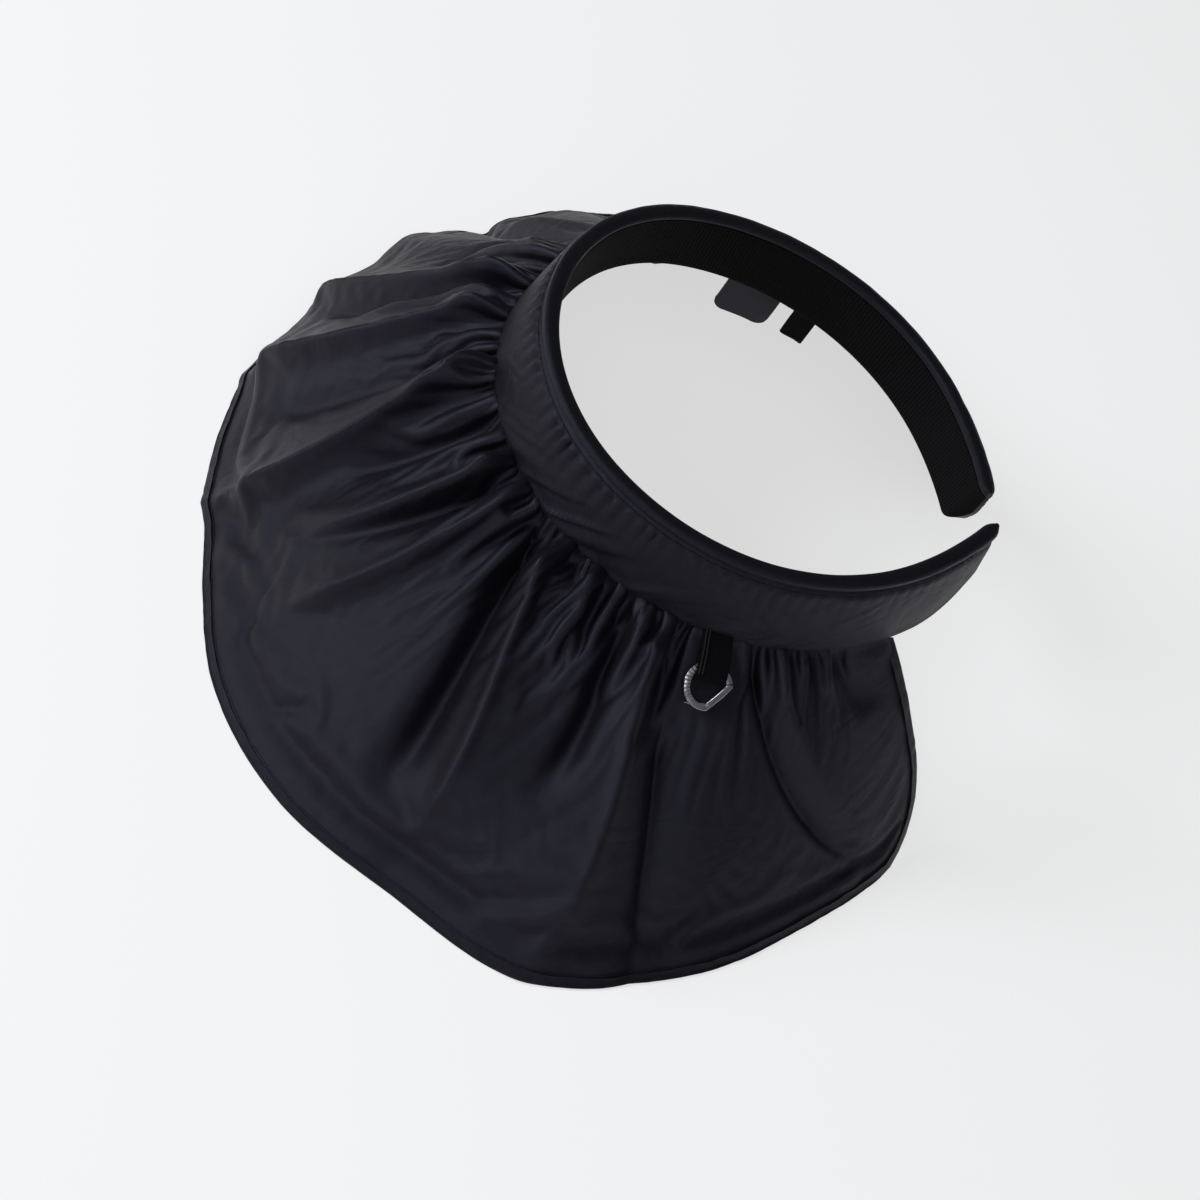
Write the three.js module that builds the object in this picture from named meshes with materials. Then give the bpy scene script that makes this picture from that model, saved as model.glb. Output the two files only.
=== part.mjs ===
// An open-top sun hat: a C-shaped padded headband with a wide gathered brim.
// Millimetres. +X is the wearer's left, -Y the front and +Z up. The hem stands on Z = 0.
// "along" is the distance round the hoop from the front middle, plus on the wearer's left.
// "out" and "up" are measured from the inner top edge of the hoop.
import * as THREE from "three";

const degrees = Math.PI / 180;
const seatGap = 0.3;

// The hoop's inner edge, from the front middle to one end.
const hoopArcs = [
  { part: "forehead", radius: 74.5, length: 82 },
  { part: "temple", radius: 99, length: 59 },
  { part: "behind the ear", radius: 88.5, length: 64 },
  { part: "nape", radius: 133, length: 40.5 },
];
const hoop = { front: -91, halfDepth: 90, blend: 24, endRise: 3.4, twist: 8.7, steps: 56 };
const hoopHalf = hoopArcs.reduce((sum, arc) => sum + arc.length, 0);

// How the hat stands: the hoop's plane leans back over the level hem.
const stand = {
  lean: Math.atan(0.15),
  hoopHeight: 114.2,
  middle: { x: -6.1, y: 30.3 },
  clothLevel: 0.35,
};

const rimSize = { thick: 5.9, innerDrop: 3.3, outerDrop: 2.6, crown: 0.4 };
// The rim's rounded section, from its inner foot over the crown to its outer foot.
const rimProfile = [
  { out: 0, up: -rimSize.innerDrop },
  { out: 0, up: -1.5 },
  { out: 0.7, up: -0.3 },
  { out: 2, up: rimSize.crown },
  { out: 3.9, up: rimSize.crown },
  { out: rimSize.thick - 0.8, up: -0.3 },
  { out: rimSize.thick - 0.1, up: -1.4 },
  { out: rimSize.thick + 0.1, up: -rimSize.outerDrop },
];
const liningSize = { height: 25.6, wall: 1.4, lean: 0.098 };
const bandSize = {
  height: 34,
  flare: 5.3,
  bulge: 0.9,
  foot: 2.6,
  padBelowLining: 0.6,
  underside: { out: 0.62, up: 0.95, footShare: 0.1 },
  innerTop: 0.8,
  taper: { left: { from: 215, length: 31.5 }, right: { from: 236, length: 10.5 } },
};
// How the hoop's ends round off in plan: over what length, how thin at the tip, and where.
const hoopEnd = { round: 5, thinnest: 0.35, stations: [0.5, 0.87, 1] };

const brimSize = {
  half: 208,
  wall: 1.6,
  seamOut: 9.9,
  seamDrop: 35.3,
  riseAtSeam: 9 * degrees,
  fallAtHem: 8 * degrees,
  hemDrop: 115,
  hemHalf: 478,
  seamStretch: 1.12,
  cornerRadius: 38,
  cornerTurns: [25, 50, 72, 90],
  hemBearing: { left: 150.5 * degrees, right: 142 * degrees },
  columns: 106,
  rows: 13,
  rowCrowding: 1.15,
};
const bindingSize = { width: 4.5, wall: 2.4, gap: 0.65, start: 0.03, rearSteps: 9 };
// The binding's section. inset is a share of its width, lift a share of half its thickness.
const bindingProfile = [
  { inset: 1, lift: 1 },
  { inset: 0.4, lift: 1 },
  { inset: 0, lift: 0.55 },
  { inset: 0, lift: -0.55 },
  { inset: 0.28, lift: -1 },
  { inset: 1, lift: -1 },
];

// How far the hem reaches from the hoop's centre, by the bearing from the front.
const hemReach = [
  { bearing: -165, reach: 132 },
  { bearing: -141, reach: 149 },
  { bearing: -125, reach: 160 },
  { bearing: -110, reach: 174 },
  { bearing: -92, reach: 187.4 },
  { bearing: -75, reach: 189 },
  { bearing: -60, reach: 185 },
  { bearing: -45, reach: 181 },
  { bearing: -32, reach: 174 },
  { bearing: -15, reach: 173 },
  { bearing: 0, reach: 175 },
  { bearing: 20, reach: 175 },
  { bearing: 32, reach: 180 },
  { bearing: 45, reach: 189 },
  { bearing: 60, reach: 194 },
  { bearing: 75, reach: 193 },
  { bearing: 92, reach: 199 },
  { bearing: 110, reach: 181 },
  { bearing: 125, reach: 163 },
  { bearing: 141, reach: 151 },
  { bearing: 165, reach: 134 },
];

// The folds of the brim. seam, middle and hem are "along" values of the fold's line where it
// starts, half way and where it ends. start and end are shares of the way from seam to hem.
const folds = [
  { fold: "far lobe dip", seam: -60, middle: -58, hem: -62, start: 0.02, end: 1, width: 9, rise: -6 },
  { fold: "far lobe", seam: -42, middle: -40, hem: -46, start: 0.02, end: 1, width: 14, rise: 2.5 },
  { fold: "long right ridge", seam: -22, middle: -20, hem: -32, start: 0.01, end: 1, width: 11, rise: 4.5 },
  { fold: "valley under it", seam: -15, middle: -14, hem: -18, start: 0.02, end: 0.8, width: 6, rise: -4 },
  { fold: "front ridge", seam: -6, middle: -1, hem: -6, start: 0.01, end: 1, width: 10, rise: 6 },
  { fold: "front valley", seam: 13, middle: 14, hem: 10, start: 0.02, end: 0.9, width: 9, rise: -5 },
  { fold: "strong front left ridge", seam: 18, middle: 31, hem: 27, start: 0, end: 1, width: 10, rise: 7 },
  { fold: "valley beside it", seam: 40, middle: 38, hem: 37, start: 0.02, end: 0.5, width: 7, rise: -4 },
  { fold: "temple ridge", seam: 54, middle: 52, hem: 43, start: 0, end: 0.75, width: 8, rise: 5 },
  { fold: "temple valley", seam: 61, middle: 54, hem: 42, start: 0.05, end: 0.75, width: 6, rise: -3.5 },
  { fold: "second temple ridge", seam: 67, middle: 66, hem: 58, start: 0, end: 0.8, width: 9, rise: 4.5 },
  { fold: "shadowed crease", seam: 76, middle: 90, hem: 95, start: 0.01, end: 0.85, width: 7, rise: -6 },
  { fold: "lit ridge beside it", seam: 84, middle: 100, hem: 104, start: 0.02, end: 0.9, width: 9, rise: 5 },
  { fold: "gather behind it", seam: 100, middle: 105, hem: 110, start: 0, end: 0.3, width: 5, rise: 4 },
  { fold: "curved valley", seam: 112, middle: 120, hem: 118, start: 0.01, end: 0.6, width: 6, rise: -4 },
  { fold: "side column", seam: 124, middle: 132, hem: 130, start: 0.01, end: 1, width: 11, rise: 5 },
  { fold: "side crease", seam: 131, middle: 141, hem: 144, start: 0.04, end: 1, width: 8, rise: -6 },
  { fold: "valley after the tab", seam: 155, middle: 168, hem: 184, start: 0.03, end: 0.95, width: 7, rise: -4.5 },
  { fold: "ridge after the tab", seam: 162, middle: 178, hem: 192, start: 0.03, end: 1, width: 9, rise: 4 },
  { fold: "soft rear dip", seam: 186, middle: 190, hem: 196, start: 0.03, end: 0.3, width: 12, rise: -2.5 },
];
// The side that the photo hides has the same folds from here on, a little lower and further back.
const mirrored = { from: 64, shift: 5, share: 0.7 };
// A fold's width grows from the seam to the hem, and it runs in and out over these shares.
const foldShape = { width: 0.55, widening: 0.75, runIn: 0.12, runInStart: 0.2, runOut: 0.35 };
const foldOverrun = 1.1;
const gathers = { spacing: 11, wander: 2.5, wanderLength: 17, depth: 1.6, fade: 0.3 };
const foldStart = 0.06;
const rearCalm = 12;

// The webbing loop on the brim, the ring in it, and the room that the folds leave them.
const tab = { along: 144.5, centre: -0.5, width: 11.2, top: 1.2, length: 17.6, wall: 1 };
const tabRise = { from: 3, to: 6, eased: 0.6, turnStep: 30 };
const tabCalm = { from: 9, to: 15, downFrom: 0.24, downTo: 0.36 };
const ring = {
  centre: -0.5,
  drop: 19,
  radius: 7.5,
  face: 2.3,
  thick: 1.6,
  barFrom: 80,
  barTo: 352,
  bowSteps: 24,
  barSteps: 6,
};
// The wire's flat section with bevelled edges, as shares of half its face and thickness.
const ringProfile = [
  { face: -1, thick: -0.5 },
  { face: -1, thick: 0.5 },
  { face: -0.6, thick: 1 },
  { face: 0.6, thick: 1 },
  { face: 1, thick: 0.5 },
  { face: 1, thick: -0.5 },
  { face: 0.6, thick: -1 },
  { face: -0.6, thick: -1 },
];
const label = { along: -114, width: 23, length: 18, wall: 1, corner: 5, steps: 12 };
const loopTab = { along: -137, width: 9.5, length: 14, wall: 1.3, corner: 0.6, steps: 4 };

const looks = {
  brim: { color: 0x1b1c24, roughness: 0.45, metalness: 0 },
  hem_binding: { color: 0x17181e, roughness: 0.5, metalness: 0 },
  band: { color: 0x1c1d24, roughness: 0.5, metalness: 0 },
  rim: { color: 0x16171c, roughness: 0.5, metalness: 0 },
  lining: { color: 0x0b0b0d, roughness: 0.85, metalness: 0 },
  ring_tab: { color: 0x141518, roughness: 0.7, metalness: 0 },
  d_ring: { color: 0x8d8f94, roughness: 0.25, metalness: 1 },
  care_label: { color: 0x141416, roughness: 0.8, metalness: 0 },
  loop_tab: { color: 0x0e0e10, roughness: 0.8, metalness: 0 },
};

const clamp = (value, low, high) => Math.min(high, Math.max(low, value));

function smooth(share) {
  const t = clamp(share, 0, 1);
  return t * t * (3 - 2 * t);
}

// The hoop's inner edge as points 1 mm apart, worked out by turning along the arcs.
function traceHoop() {
  const points = [];
  let heading = 0;
  const at = new THREE.Vector2(0, hoop.front);
  for (let along = 0; along <= hoopHalf; along += 1) {
    points.push({ x: at.x, y: at.y, outX: Math.sin(heading), outY: -Math.cos(heading) });
    let bend = 1 / hoopArcs[0].radius;
    let joint = 0;
    for (let i = 1; i < hoopArcs.length; i += 1) {
      joint += hoopArcs[i - 1].length;
      const share = smooth((along - joint) / hoop.blend + 0.5);
      bend = bend * (1 - share) + share / hoopArcs[i].radius;
    }
    heading += bend;
    at.x += Math.cos(heading - bend / 2);
    at.y += Math.sin(heading - bend / 2);
  }
  return points;
}
const hoopPoints = traceHoop();

// A point of the hat in its own frame, before it is stood on its hem.
function onHat(along, out, up) {
  const side = along < 0 ? -1 : 1;
  const last = hoopPoints.length - 1;
  const place = Math.min(Math.abs(along), last);
  const before = Math.min(Math.floor(place), last - 1);
  const from = hoopPoints[before];
  const to = hoopPoints[before + 1];
  const share = place - before;
  const mix = (key) => from[key] + (to[key] - from[key]) * share;
  const y = mix("y");
  const { halfDepth, endRise, twist } = hoop;
  const rise =
    endRise * (y / halfDepth) ** 2 + twist * side * ((y + halfDepth) / (2 * halfDepth)) ** 2;
  return new THREE.Vector3(side * (mix("x") + out * mix("outX")), y + out * mix("outY"), up + rise);
}

// Stands a point of the hat on the floor.
function stood(point) {
  const turned = new THREE.Vector3(point.x, point.y, point.z + stand.hoopHeight);
  turned.applyAxisAngle(new THREE.Vector3(1, 0, 0), -stand.lean);
  turned.x += stand.middle.x;
  turned.y += stand.middle.y;
  return turned;
}

// Joins rings of points into one closed mesh. Point k of a ring faces point 2m - 1 - k across it.
function sweep(rings, closed = false) {
  const count = rings[0].length;
  const positions = rings.flat().flatMap((point) => [point.x, point.y, point.z]);
  const faces = [];
  const quad = (a, b, c, d) => faces.push(a, b, c, a, c, d);
  const last = closed ? rings.length : rings.length - 1;
  for (let i = 0; i < last; i += 1) {
    const here = i * count;
    const there = ((i + 1) % rings.length) * count;
    for (let k = 0; k < count; k += 1) {
      const next = (k + 1) % count;
      quad(here + k, there + k, there + next, here + next);
    }
  }
  if (!closed) {
    const end = (rings.length - 1) * count;
    for (let k = 0; k < count / 2 - 1; k += 1) {
      quad(k, k + 1, count - 2 - k, count - 1 - k);
      quad(end + count - 1 - k, end + count - 2 - k, end + k + 1, end + k);
    }
  }
  const geometry = new THREE.BufferGeometry();
  geometry.setAttribute("position", new THREE.Float32BufferAttribute(positions, 3));
  geometry.setIndex(faces);
  return facingOut(geometry);
}

// Turns the faces round if the mesh's volume comes out negative.
function facingOut(geometry) {
  const position = geometry.getAttribute("position");
  const index = geometry.getIndex().array;
  const corner = (i) => new THREE.Vector3().fromBufferAttribute(position, index[i]);
  let volume = 0;
  for (let i = 0; i < index.length; i += 3) {
    volume += corner(i).dot(corner(i + 1).cross(corner(i + 2)));
  }
  if (volume < 0) {
    for (let i = 0; i < index.length; i += 3) {
      [index[i + 1], index[i + 2]] = [index[i + 2], index[i + 1]];
    }
  }
  geometry.computeVertexNormals();
  return geometry;
}

function mesh(name, geometry) {
  const material = new THREE.MeshStandardMaterial(looks[name]);
  const piece = new THREE.Mesh(geometry, material);
  piece.name = name;
  return piece;
}

// The headband: every section is a list of {out, up} that rounds off at the hoop's ends.
function hoopStations() {
  const stations = [];
  for (let i = 0; i <= hoop.steps; i += 1) {
    stations.push((hoopHalf - hoopEnd.round) * ((2 * i) / hoop.steps - 1));
  }
  for (const share of hoopEnd.stations) {
    stations.unshift(-hoopHalf + hoopEnd.round * (1 - share));
    stations.push(hoopHalf - hoopEnd.round * (1 - share));
  }
  return stations;
}

function bandShare(along) {
  const taper = along < 0 ? bandSize.taper.right : bandSize.taper.left;
  const past = Math.max(0, Math.abs(along) - taper.from) / taper.length;
  return Math.sqrt(1 - past * past);
}

function endShare(along) {
  const past = Math.max(0, Math.abs(along) - (hoopHalf - hoopEnd.round)) / hoopEnd.round;
  return Math.max(hoopEnd.thinnest, Math.sqrt(1 - past * past));
}

function hoopRing(section, along) {
  const middle = rimSize.thick / 2;
  return section.map(({ out, up }) => {
    const drawn = middle + (out - middle) * endShare(along);
    return stood(onHat(along, drawn, up));
  });
}

function liningSection(along) {
  const top = rimSize.innerDrop + seatGap;
  const foot = top + (liningSize.height - top) * bandShare(along);
  const at = (drop, wall) => ({ out: wall - drop * liningSize.lean, up: -drop });
  const middle = (top + foot) / 2;
  return [
    at(top, 0),
    at(middle, 0),
    at(foot, 0),
    at(foot, liningSize.wall),
    at(middle, liningSize.wall),
    at(top, liningSize.wall),
  ];
}

function bandSection(along) {
  const share = bandShare(along);
  const top = rimSize.outerDrop + 2 * seatGap;
  const height = top + (bandSize.height - top) * share;
  const padFoot = top + (liningSize.height + bandSize.padBelowLining - top) * share;
  const outer = (part) => ({
    out: rimSize.thick + 0.1 + bandSize.flare * share * part ** bandSize.bulge,
    up: -(top + (height - top) * part),
  });
  const inner = (drop) => ({
    out: liningSize.wall + seatGap - drop * liningSize.lean,
    up: -drop,
  });
  const foot = outer(1);
  const { underside } = bandSize;
  return [
    outer(0),
    outer(0.25),
    outer(0.5),
    outer(0.75),
    foot,
    { out: foot.out - bandSize.foot * share, up: foot.up },
    {
      out: foot.out * underside.out,
      up: foot.up * underside.footShare - padFoot * underside.up,
    },
    inner(padFoot),
    inner((padFoot + top) / 2),
    inner(top + bandSize.innerTop),
  ];
}

// The brim's sheet, first without its folds.
function reachAt(bearing) {
  const last = hemReach.length - 1;
  const row = clamp(hemReach.findIndex((entry) => entry.bearing > bearing) - 1, 0, last - 1);
  const [before, from, to, after] = [-1, 0, 1, 2].map((step) => hemReach[clamp(row + step, 0, last)]);
  const span = to.bearing - from.bearing;
  const t = (bearing - from.bearing) / span;
  const slopeFrom = ((to.reach - before.reach) / (to.bearing - before.bearing)) * span;
  const slopeTo = ((after.reach - from.reach) / (after.bearing - from.bearing)) * span;
  return (
    (2 * t ** 3 - 3 * t ** 2 + 1) * from.reach +
    (t ** 3 - 2 * t ** 2 + t) * slopeFrom +
    (3 * t ** 2 - 2 * t ** 3) * to.reach +
    (t ** 3 - t ** 2) * slopeTo
  );
}

const bearingOf = (point) => Math.atan2(point.x, -point.y);
const seamPoint = (along) => onHat(along, brimSize.seamOut, -brimSize.seamDrop);
const seamBearing = bearingOf(seamPoint(brimSize.half));

function hemPoint(along) {
  const hemBearing = along < 0 ? brimSize.hemBearing.right : brimSize.hemBearing.left;
  const bearing = (bearingOf(seamPoint(along)) * hemBearing) / seamBearing;
  const reach = reachAt(bearing / degrees);
  const y = -reach * Math.cos(bearing);
  return new THREE.Vector3(reach * Math.sin(bearing), y, y * Math.tan(stand.lean) - brimSize.hemDrop);
}

function smoothSheet(along, down) {
  const seam = seamPoint(along);
  const hem = hemPoint(along);
  const across = new THREE.Vector3(hem.x - seam.x, hem.y - seam.y, 0);
  const length = seam.distanceTo(hem);
  const slope = Math.atan2(seam.z - hem.z, across.length());
  across.normalize();
  const tangent = (angle) => {
    const level = across.clone().multiplyScalar(Math.cos(angle) * length);
    return level.setZ(-Math.sin(angle) * length);
  };
  const leave = tangent(slope - brimSize.riseAtSeam);
  const arrive = tangent(slope + brimSize.fallAtHem);
  const t = down;
  return seam
    .multiplyScalar(2 * t ** 3 - 3 * t ** 2 + 1)
    .addScaledVector(leave, t ** 3 - 2 * t ** 2 + t)
    .addScaledVector(hem, 3 * t ** 2 - 2 * t ** 3)
    .addScaledVector(arrive, t ** 3 - t ** 2);
}

function normalOf(surface, along, down) {
  const step = { along: 0.8, down: 0.01 };
  const across = surface(along + step.along, down).sub(surface(along - step.along, down));
  const fall = surface(along, down + step.down).sub(surface(along, down - step.down));
  return fall.cross(across).normalize();
}

// How much wider the cut cloth is than the seam it is gathered to, from the seam to the hem.
function stretchAt(down) {
  const { seamStretch, hemHalf, half } = brimSize;
  return seamStretch + (hemHalf / half - seamStretch) * down;
}

function foldHeight({ seam, middle, hem, start, end, width, rise }, along, down) {
  const t = (down - start) / (end - start);
  if (t <= 0 || t > foldOverrun) return 0;
  const line = seam * (1 - t) * (1 - 2 * t) + middle * 4 * t * (1 - t) + hem * t * (2 * t - 1);
  const spread = width * (foldShape.width + foldShape.widening * down);
  const off = ((along - line) * stretchAt(down)) / spread;
  const fadeIn = smooth(t / foldShape.runIn + foldShape.runInStart);
  const fadeOut = end < 1 ? smooth((1 - t) / foldShape.runOut) : 1;
  return rise * Math.exp(-off * off) * fadeIn * fadeOut;
}

const farFolds = folds
  .filter((fold) => fold.seam > mirrored.from)
  .map((fold) => ({
    ...fold,
    seam: -fold.seam - mirrored.shift,
    middle: -fold.middle - mirrored.shift,
    hem: -fold.hem - mirrored.shift,
    rise: fold.rise * mirrored.share,
  }));
const allFolds = [...folds, ...farFolds];

// How far the cloth stands off the smooth sheet: folds, gathers, and calm where the tab lies.
function ruffle(along, down) {
  let height = 0;
  for (const fold of allFolds) height += foldHeight(fold, along, down);
  const turn = (along + gathers.wander * Math.sin(along / gathers.wanderLength)) / gathers.spacing;
  const fade = 1 - smooth(down / gathers.fade);
  height += gathers.depth * Math.cos(2 * Math.PI * turn) * fade;
  const aside = Math.abs(along - tab.along);
  const besideTab = smooth((aside - tabCalm.from) / (tabCalm.to - tabCalm.from));
  const belowTab = smooth((down - tabCalm.downFrom) / (tabCalm.downTo - tabCalm.downFrom));
  const rear = smooth((brimSize.half - Math.abs(along)) / rearCalm);
  return height * smooth(down / foldStart) * Math.max(besideTab, belowTab) * rear;
}

function sheet(along, down) {
  const point = smoothSheet(along, down);
  return point.addScaledVector(normalOf(smoothSheet, along, down), ruffle(along, down));
}

// A place on the sheet. across runs from -1 to 1 between the rear edges, down from 0 at the seam
// to 1 at the hem, and inset is the distance kept from the free edge, round the corners too.
function place(across, down, inset) {
  const { half, hemHalf, cornerRadius } = brimSize;
  const corner = cornerRadius - inset;
  const past = Math.max(0, Math.abs(across) * (hemHalf - inset) - (hemHalf - cornerRadius));
  const cut = inset + corner - Math.sqrt(Math.max(0, corner ** 2 - past ** 2));
  const length = seamPoint(across * half).distanceTo(hemPoint(across * half));
  const low = down * (1 - cut / length);
  return { along: across * (half - inset / stretchAt(low)), down: low };
}

function columnsAcross(inset) {
  const straight = (brimSize.hemHalf - brimSize.cornerRadius) / (brimSize.hemHalf - inset);
  const list = [];
  for (let i = 0; i <= brimSize.columns; i += 1) {
    list.push(straight * ((2 * i) / brimSize.columns - 1));
  }
  for (const turn of brimSize.cornerTurns) {
    const share = straight + (1 - straight) * Math.sin(turn * degrees);
    list.push(share);
    list.unshift(-share);
  }
  return list;
}

// A point on either face of the cloth. Where the sheet would sink into the floor, the cloth
// lies flat on it with its full thickness.
function face(along, down, lift) {
  const middle = sheet(along, down);
  const placed = stood(middle);
  const lifted = stood(middle.addScaledVector(normalOf(sheet, along, down), lift));
  const raised = Math.max(0, stand.clothLevel - placed.z);
  lifted.z = Math.max(0, lifted.z + raised);
  return lifted;
}

function makeBrim() {
  const inset = bindingSize.width + bindingSize.gap;
  const half = brimSize.wall / 2;
  const rings = columnsAcross(inset).map((across) => {
    const spots = [];
    for (let row = 0; row <= brimSize.rows; row += 1) {
      spots.push(place(across, (row / brimSize.rows) ** brimSize.rowCrowding, inset));
    }
    const upper = spots.map((spot) => face(spot.along, spot.down, half));
    const under = spots.map((spot) => face(spot.along, spot.down, -half));
    return [...upper, ...under.reverse()];
  });
  return mesh("brim", sweep(rings));
}

function bindingRing(across, down) {
  return bindingProfile.map(({ inset, lift }) => {
    const spot = place(across, down, inset * bindingSize.width);
    return face(spot.along, spot.down, (lift * bindingSize.wall) / 2);
  });
}

function makeBinding() {
  const stations = [];
  for (let i = 0; i < bindingSize.rearSteps; i += 1) {
    const down = bindingSize.start + ((1 - bindingSize.start) * i) / bindingSize.rearSteps;
    stations.push({ across: -1, down });
  }
  const rear = stations.map(({ down }) => ({ across: 1, down })).reverse();
  for (const across of columnsAcross(bindingSize.width)) stations.push({ across, down: 1 });
  stations.push(...rear);
  const rings = stations.map(({ across, down }) => bindingRing(across, down));
  return mesh("hem_binding", sweep(rings));
}

function makeRim() {
  const rings = hoopStations().map((along) => hoopRing(rimProfile, along));
  return mesh("rim", sweep(rings));
}

function makeLining() {
  const rings = hoopStations().map((along) => hoopRing(liningSection(along), along));
  return mesh("lining", sweep(rings));
}

function makeBand() {
  const rings = hoopStations().map((along) => hoopRing(bandSection(along), along));
  return mesh("band", sweep(rings));
}

// A place over the calm cloth at the tab: aside toward the rear, drop down from the seam.
function overBrim(aside, drop, lift) {
  const length = seamPoint(tab.along).distanceTo(hemPoint(tab.along));
  const down = drop / length;
  const along = tab.along + aside / stretchAt(down);
  const point = smoothSheet(along, down);
  return stood(point.addScaledVector(normalOf(smoothSheet, along, down), lift));
}

// The loop's two legs lie one over the other, with the ring's wire between them.
const legLift = { back: brimSize.wall / 2 + seatGap + tab.wall / 2 };
legLift.front = legLift.back + tab.wall + ring.thick + 2 * seatGap;
legLift.frontAtTop = legLift.back + tab.wall + seatGap;

function makeRingTab() {
  const turn = (legLift.front - legLift.back) / 2;
  const foldDrop = tab.length - turn - tab.wall / 2;
  const path = [
    new THREE.Vector2(tab.top, legLift.frontAtTop),
    new THREE.Vector2(tab.top + tabRise.from, legLift.frontAtTop + tabRise.eased),
    new THREE.Vector2(tab.top + tabRise.to, legLift.front),
  ];
  for (let angle = 90; angle >= -90; angle -= tabRise.turnStep) {
    const drop = foldDrop + turn * Math.cos(angle * degrees);
    path.push(new THREE.Vector2(drop, legLift.back + turn + turn * Math.sin(angle * degrees)));
  }
  path.push(new THREE.Vector2(tab.top + tabRise.to, legLift.back));
  path.push(new THREE.Vector2(tab.top, legLift.back));
  const rings = path.map((at, i) => {
    const before = path[Math.max(i - 1, 0)];
    const after = path[Math.min(i + 1, path.length - 1)];
    const side = after.clone().sub(before).normalize().multiplyScalar(tab.wall / 2);
    const corner = (edge, wall) =>
      overBrim(tab.centre + (edge * tab.width) / 2, at.x + wall * side.y, at.y - wall * side.x);
    return [corner(-1, 1), corner(1, 1), corner(1, -1), corner(-1, -1)];
  });
  return mesh("ring_tab", sweep(rings));
}

// The ring's wire follows a round bow and a straight bar, and slopes from the loop to the cloth.
function ringCentreLine() {
  const line = [];
  const { bowSteps, barSteps } = ring;
  const onBow = (angle) => new THREE.Vector2(Math.cos(angle * degrees), Math.sin(angle * degrees));
  for (let i = 0; i <= bowSteps; i += 1) {
    line.push(onBow(ring.barFrom + ((ring.barTo - ring.barFrom) * i) / bowSteps));
  }
  const from = line[bowSteps];
  const to = line[0];
  for (let i = 1; i < barSteps; i += 1) line.push(from.clone().lerp(to, i / barSteps));
  const middle = new THREE.Vector2(ring.centre, ring.drop);
  return line.map((at) => at.multiplyScalar(ring.radius).add(middle));
}

function makeRing() {
  const line = ringCentreLine();
  const onCloth = brimSize.wall / 2 + seatGap + ring.thick / 2;
  const inLoop = legLift.back + tab.wall / 2 + seatGap + ring.thick / 2;
  const liftAt = (drop) => inLoop + (onCloth - inLoop) * smooth((drop - ring.drop) / ring.radius);
  const rings = line.map((at, i) => {
    const before = line[(i + line.length - 1) % line.length];
    const after = line[(i + 1) % line.length];
    const side = after.clone().sub(before).normalize();
    const corner = (across, thick) => {
      const off = (across * ring.face) / 2;
      const lift = liftAt(at.y) + (thick * ring.thick) / 2;
      return overBrim(at.x + off * side.y, at.y - off * side.x, lift);
    };
    return ringProfile.map(({ face: across, thick }) => corner(across, thick));
  });
  return mesh("d_ring", sweep(rings, true));
}

// A strip of cloth that hangs from the lining's lower edge, with rounded lower corners.
function hangingStrip(name, strip) {
  const rings = [];
  for (let i = 0; i <= strip.steps; i += 1) {
    const aside = Math.cos((Math.PI * i) / strip.steps) * (strip.width / 2);
    const past = Math.max(0, Math.abs(aside) - strip.width / 2 + strip.corner);
    const round = strip.corner - Math.sqrt(Math.max(0, strip.corner ** 2 - past ** 2));
    const top = liningSize.height + seatGap;
    const inner = -liningSize.height * liningSize.lean;
    const at = (out, up) => stood(onHat(strip.along + aside, out, up));
    rings.push([
      at(inner, -top),
      at(inner, round - top - strip.length),
      at(inner + strip.wall, round - top - strip.length),
      at(inner + strip.wall, -top),
    ]);
  }
  return mesh(name, sweep(rings));
}

const group = new THREE.Group();
group.add(
  makeBrim(),
  makeBinding(),
  makeBand(),
  makeRim(),
  makeLining(),
  makeRingTab(),
  makeRing(),
  hangingStrip("care_label", label),
  hangingStrip("loop_tab", loopTab),
);
export default group;
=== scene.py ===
"""An open-top sun hat: its cloth, trims and ring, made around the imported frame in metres."""

import math
from types import SimpleNamespace

import bpy
import numpy as np
from bpy.props import FloatProperty, FloatVectorProperty, IntProperty, PointerProperty
from mathutils import Matrix, Vector


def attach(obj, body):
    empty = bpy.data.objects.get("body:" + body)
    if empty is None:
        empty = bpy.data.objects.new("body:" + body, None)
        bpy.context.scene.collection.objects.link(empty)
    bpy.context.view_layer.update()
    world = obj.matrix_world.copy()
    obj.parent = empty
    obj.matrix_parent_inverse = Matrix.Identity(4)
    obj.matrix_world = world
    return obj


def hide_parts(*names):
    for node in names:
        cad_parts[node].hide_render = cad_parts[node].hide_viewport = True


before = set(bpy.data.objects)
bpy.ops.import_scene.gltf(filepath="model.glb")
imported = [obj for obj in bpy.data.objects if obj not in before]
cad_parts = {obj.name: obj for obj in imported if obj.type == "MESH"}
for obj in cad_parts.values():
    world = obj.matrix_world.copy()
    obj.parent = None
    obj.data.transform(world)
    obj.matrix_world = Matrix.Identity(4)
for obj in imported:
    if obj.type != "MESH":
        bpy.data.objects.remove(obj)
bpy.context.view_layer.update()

bl_info = {
    "name": "Open-top sun hat",
    "version": (1, 0, 0),
    "blender": (4, 5, 0),
    "location": "View3D > Sidebar > Sun Hat",
    "description": "Makes an open-top sun hat with a gathered brim, a padded band and a ring on a loop",
    "category": "Add Mesh",
}

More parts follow.
